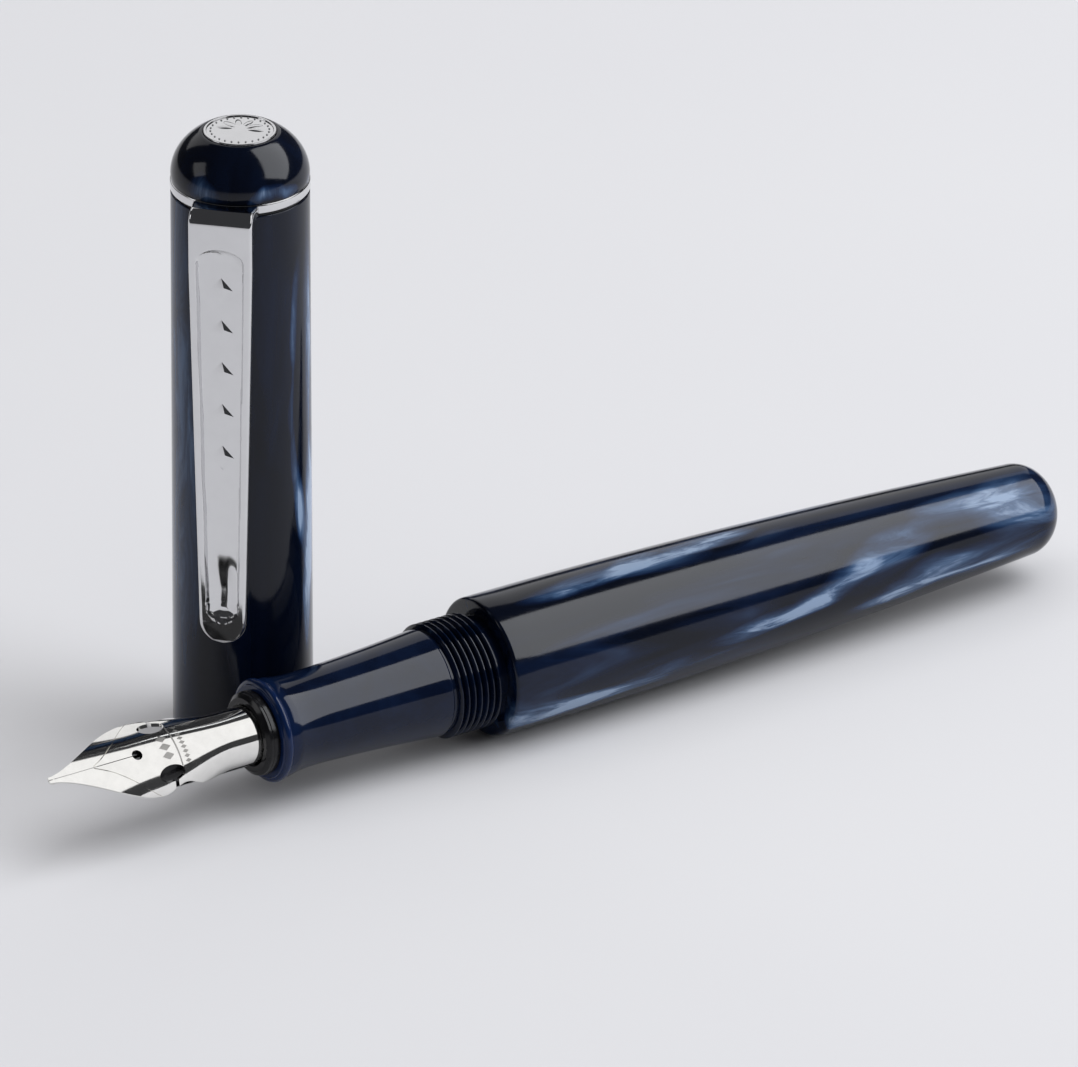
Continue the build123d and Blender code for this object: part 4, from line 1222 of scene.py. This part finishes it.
# ---- everything ----------------------------------------------------------------------------------
BARREL_FLAMES = [
    ((12, -1.6, 7.1), (0, 0, 5), (9, 2.0, 1.8), 1.2),
    ((21, -1.5, 6.9), (0, 0, -4), (8, 2.2, 1.8), 1.6),
    ((29, -0.6, 6.8), (0, 0, 6), (7, 1.9, 1.6), 1.6),
    ((8, -6.6, -3.2), (0, 0, 0), (16, 1.6, 1.9), 1.8),
    ((22, -6.9, -2.2), (0, 0, 0), (13, 1.5, 1.5), 2.0),
    ((31, -7.0, -0.2), (0, -4, 0), (10, 1.8, 1.6), 1.6),
    ((39, -6.4, 1.2), (0, -8, 0), (8, 1.9, 1.6), 1.1),
    ((48, -5.4, 2.6), (0, -10, 0), (8, 2.2, 2.8), 0.95),
    ((50, -5.9, -1.4), (0, -8, 0), (9, 2.2, 1.7), 1.4),
    ((57, -4.0, 4.2), (0, 0, 0), (7, 2.2, 2.2), 0.9),
    ((64, -4.0, 2.9), (0, 0, 0), (7, 3.0, 3.6), 1.15),
    ((60, -5.2, -0.9), (0, 0, 0), (9, 2.2, 1.9), 1.3),
    ((40, 3.0, 5.5), (0, 0, 0), (14, 2.0, 2.0), 0.7),
    ((20, 6.0, 3.0), (0, 0, 0), (14, 2.0, 2.4), 0.7),
    ((52, 4.5, -2.0), (0, 0, 0), (14, 2.2, 2.4), 0.8),
]
CAP_FLAMES = [
    ((-7.0, 0.9, 36), (0, 0, 0), (2.8, 4.4, 50), 0.62),
    ((-6.7, -2.2, 30), (0, 0, 0), (1.6, 2.0, 22), 0.3),
    ((4.4, -5.6, 22), (0, 5, 0), (1.9, 2.3, 13), 2.6),
    ((5.0, -5.0, 45), (0, 0, 0), (1.5, 2.0, 16), 1.1),
    ((0.9, -7.0, 34), (0, 5, 0), (0.9, 0.9, 16), 1.5),
    ((2.6, -6.6, 27), (0, -5, 0), (0.9, 1.0, 12), 1.4),
    ((2.4, -6.7, 50), (0, 6, 0), (0.9, 1.0, 9), 1.2),
    ((3.0, 6.2, 30), (0, 0, 0), (2.4, 2.0, 26), 0.8),
]
DOME_FLAMES = [
    ((-6.0, -3.0, 62.6), (0, 0, 0), (1.8, 2.4, 1.4), 0.8),
    ((-0.5, -6.9, 62.0), (0, 0, 0), (3.6, 1.5, 1.0), 0.9),
    ((4.5, -5.2, 62.6), (0, 0, 0), (2.4, 2.0, 1.3), 0.8),
]

barrel_finish = pearl_resin("barrel_resin", PEN, X, BARREL_FLAMES, 11.0)
cap_finish = pearl_resin("cap_resin", CAP, Z, CAP_FLAMES, 37.0, haze=0.35)
dome_finish = pearl_resin("finial_resin", CAP, Z, DOME_FLAMES, 5.0, haze=0.2)
grip_finish = plain_resin("grip_resin", SECTION_FRONT)
chrome = polished_metal("bright_plating", (0.70, 0.70, 0.71), CAP)
nib_finish = etched_steel("nib_steel")
black_pen = moulded_plastic("black_plastic_pen", (0.006, 0.006, 0.007), (0.012, 0.012, 0.014), PEN)
black_cap = moulded_plastic("black_plastic_cap", (0.006, 0.006, 0.007), (0.012, 0.012, 0.014), CAP)
rubber = moulded_plastic("seal_rubber", (0.004, 0.004, 0.004), (0.009, 0.009, 0.009), PEN, (0.5, 0.65))
steel = polished_metal("stud_steel", (0.62, 0.61, 0.60), CAP, (0.18, 0.3), 0.6)
glassy = clear_plastic("clear_tube", PEN)

NO_TURN = (0, 0, 0)
NIB_TURN = (NIB_ROLL, 0, 0)
CLIP_TURN = (0, 0, CLIP_HEADING)
# how it is made, origin, turn, finish, body, slot, node it stands for, crease angle in degrees
PIECES = [
    (make_barrel, PEN, NO_TURN, barrel_finish, "barrel", "pearl_resin", "barrel", 35),
    (make_section, PEN, NO_TURN, grip_finish, "grip", "plain_resin", "section", 35),
    (make_housing, PEN, NO_TURN, black_pen, "nib_unit", "black_plastic", "nib_housing", 35),
    (make_nib, PEN, NIB_TURN, nib_finish, "nib_and_feed", "nib_steel", "nib", 30),
    (make_mouth, PEN, NO_TURN, black_pen, "converter", "black_plastic", "converter_mouth", 35),
    (make_reservoir, PEN, NO_TURN, glassy, "converter", "clear_plastic", "converter_reservoir", 35),
    (make_collar, PEN, NO_TURN, chrome, "converter", "clip_metal", "converter_collar", 35),
    (make_knob, PEN, NO_TURN, black_pen, "filler_knob", "black_plastic", "converter_knob", 35),
    (make_button, PEN, NO_TURN, chrome, "filler_knob", "clip_metal", "knob_button", 35),
    (make_cap_tube, CAP, NO_TURN, cap_finish, "cap", "pearl_resin", "cap_tube", 35),
    (make_dome, CAP, NO_TURN, dome_finish, "finial", "pearl_resin", "finial_dome", 35),
    (make_bezel, CAP, NO_TURN, chrome, "finial", "clip_metal", "finial_bezel", 35),
    (make_medallion, CAP, NO_TURN, chrome, "finial", "clip_metal", "finial_medallion", 35),
    (make_washer, CAP, NO_TURN, black_cap, "clip_mount", "black_plastic", "clip_washer", 35),
    (make_clip_ring, CAP, CLIP_TURN, chrome, "clip_mount", "clip_metal", "clip_ring", 35),
    (make_clip_arm, CAP, CLIP_TURN, chrome, "clip", "clip_metal", "clip_arm", 30),
]
metal_pieces = []
for make, origin, turn, finish, body, slot, node, crease in PIECES:
    piece = finish_piece(put(make(), origin, turn), finish, body, node, crease)
    if finish in (chrome, nib_finish):
        metal_pieces.append(piece)

KEPT_NODES = {
    "feed": black_pen,
    "housing_seal": rubber,
    "barrel_seal": rubber,
    "converter_guide": black_pen,
    "piston_rod": black_pen,
    "piston_seal": rubber,
    "inner_cap": black_cap,
    "finial_stud": steel,
}
for node, finish in KEPT_NODES.items():
    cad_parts[node].material_slots[0].material = finish

metal_pieces.append(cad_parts["finial_stud"])
make_lights(metal_pieces, make_stage())
make_camera()
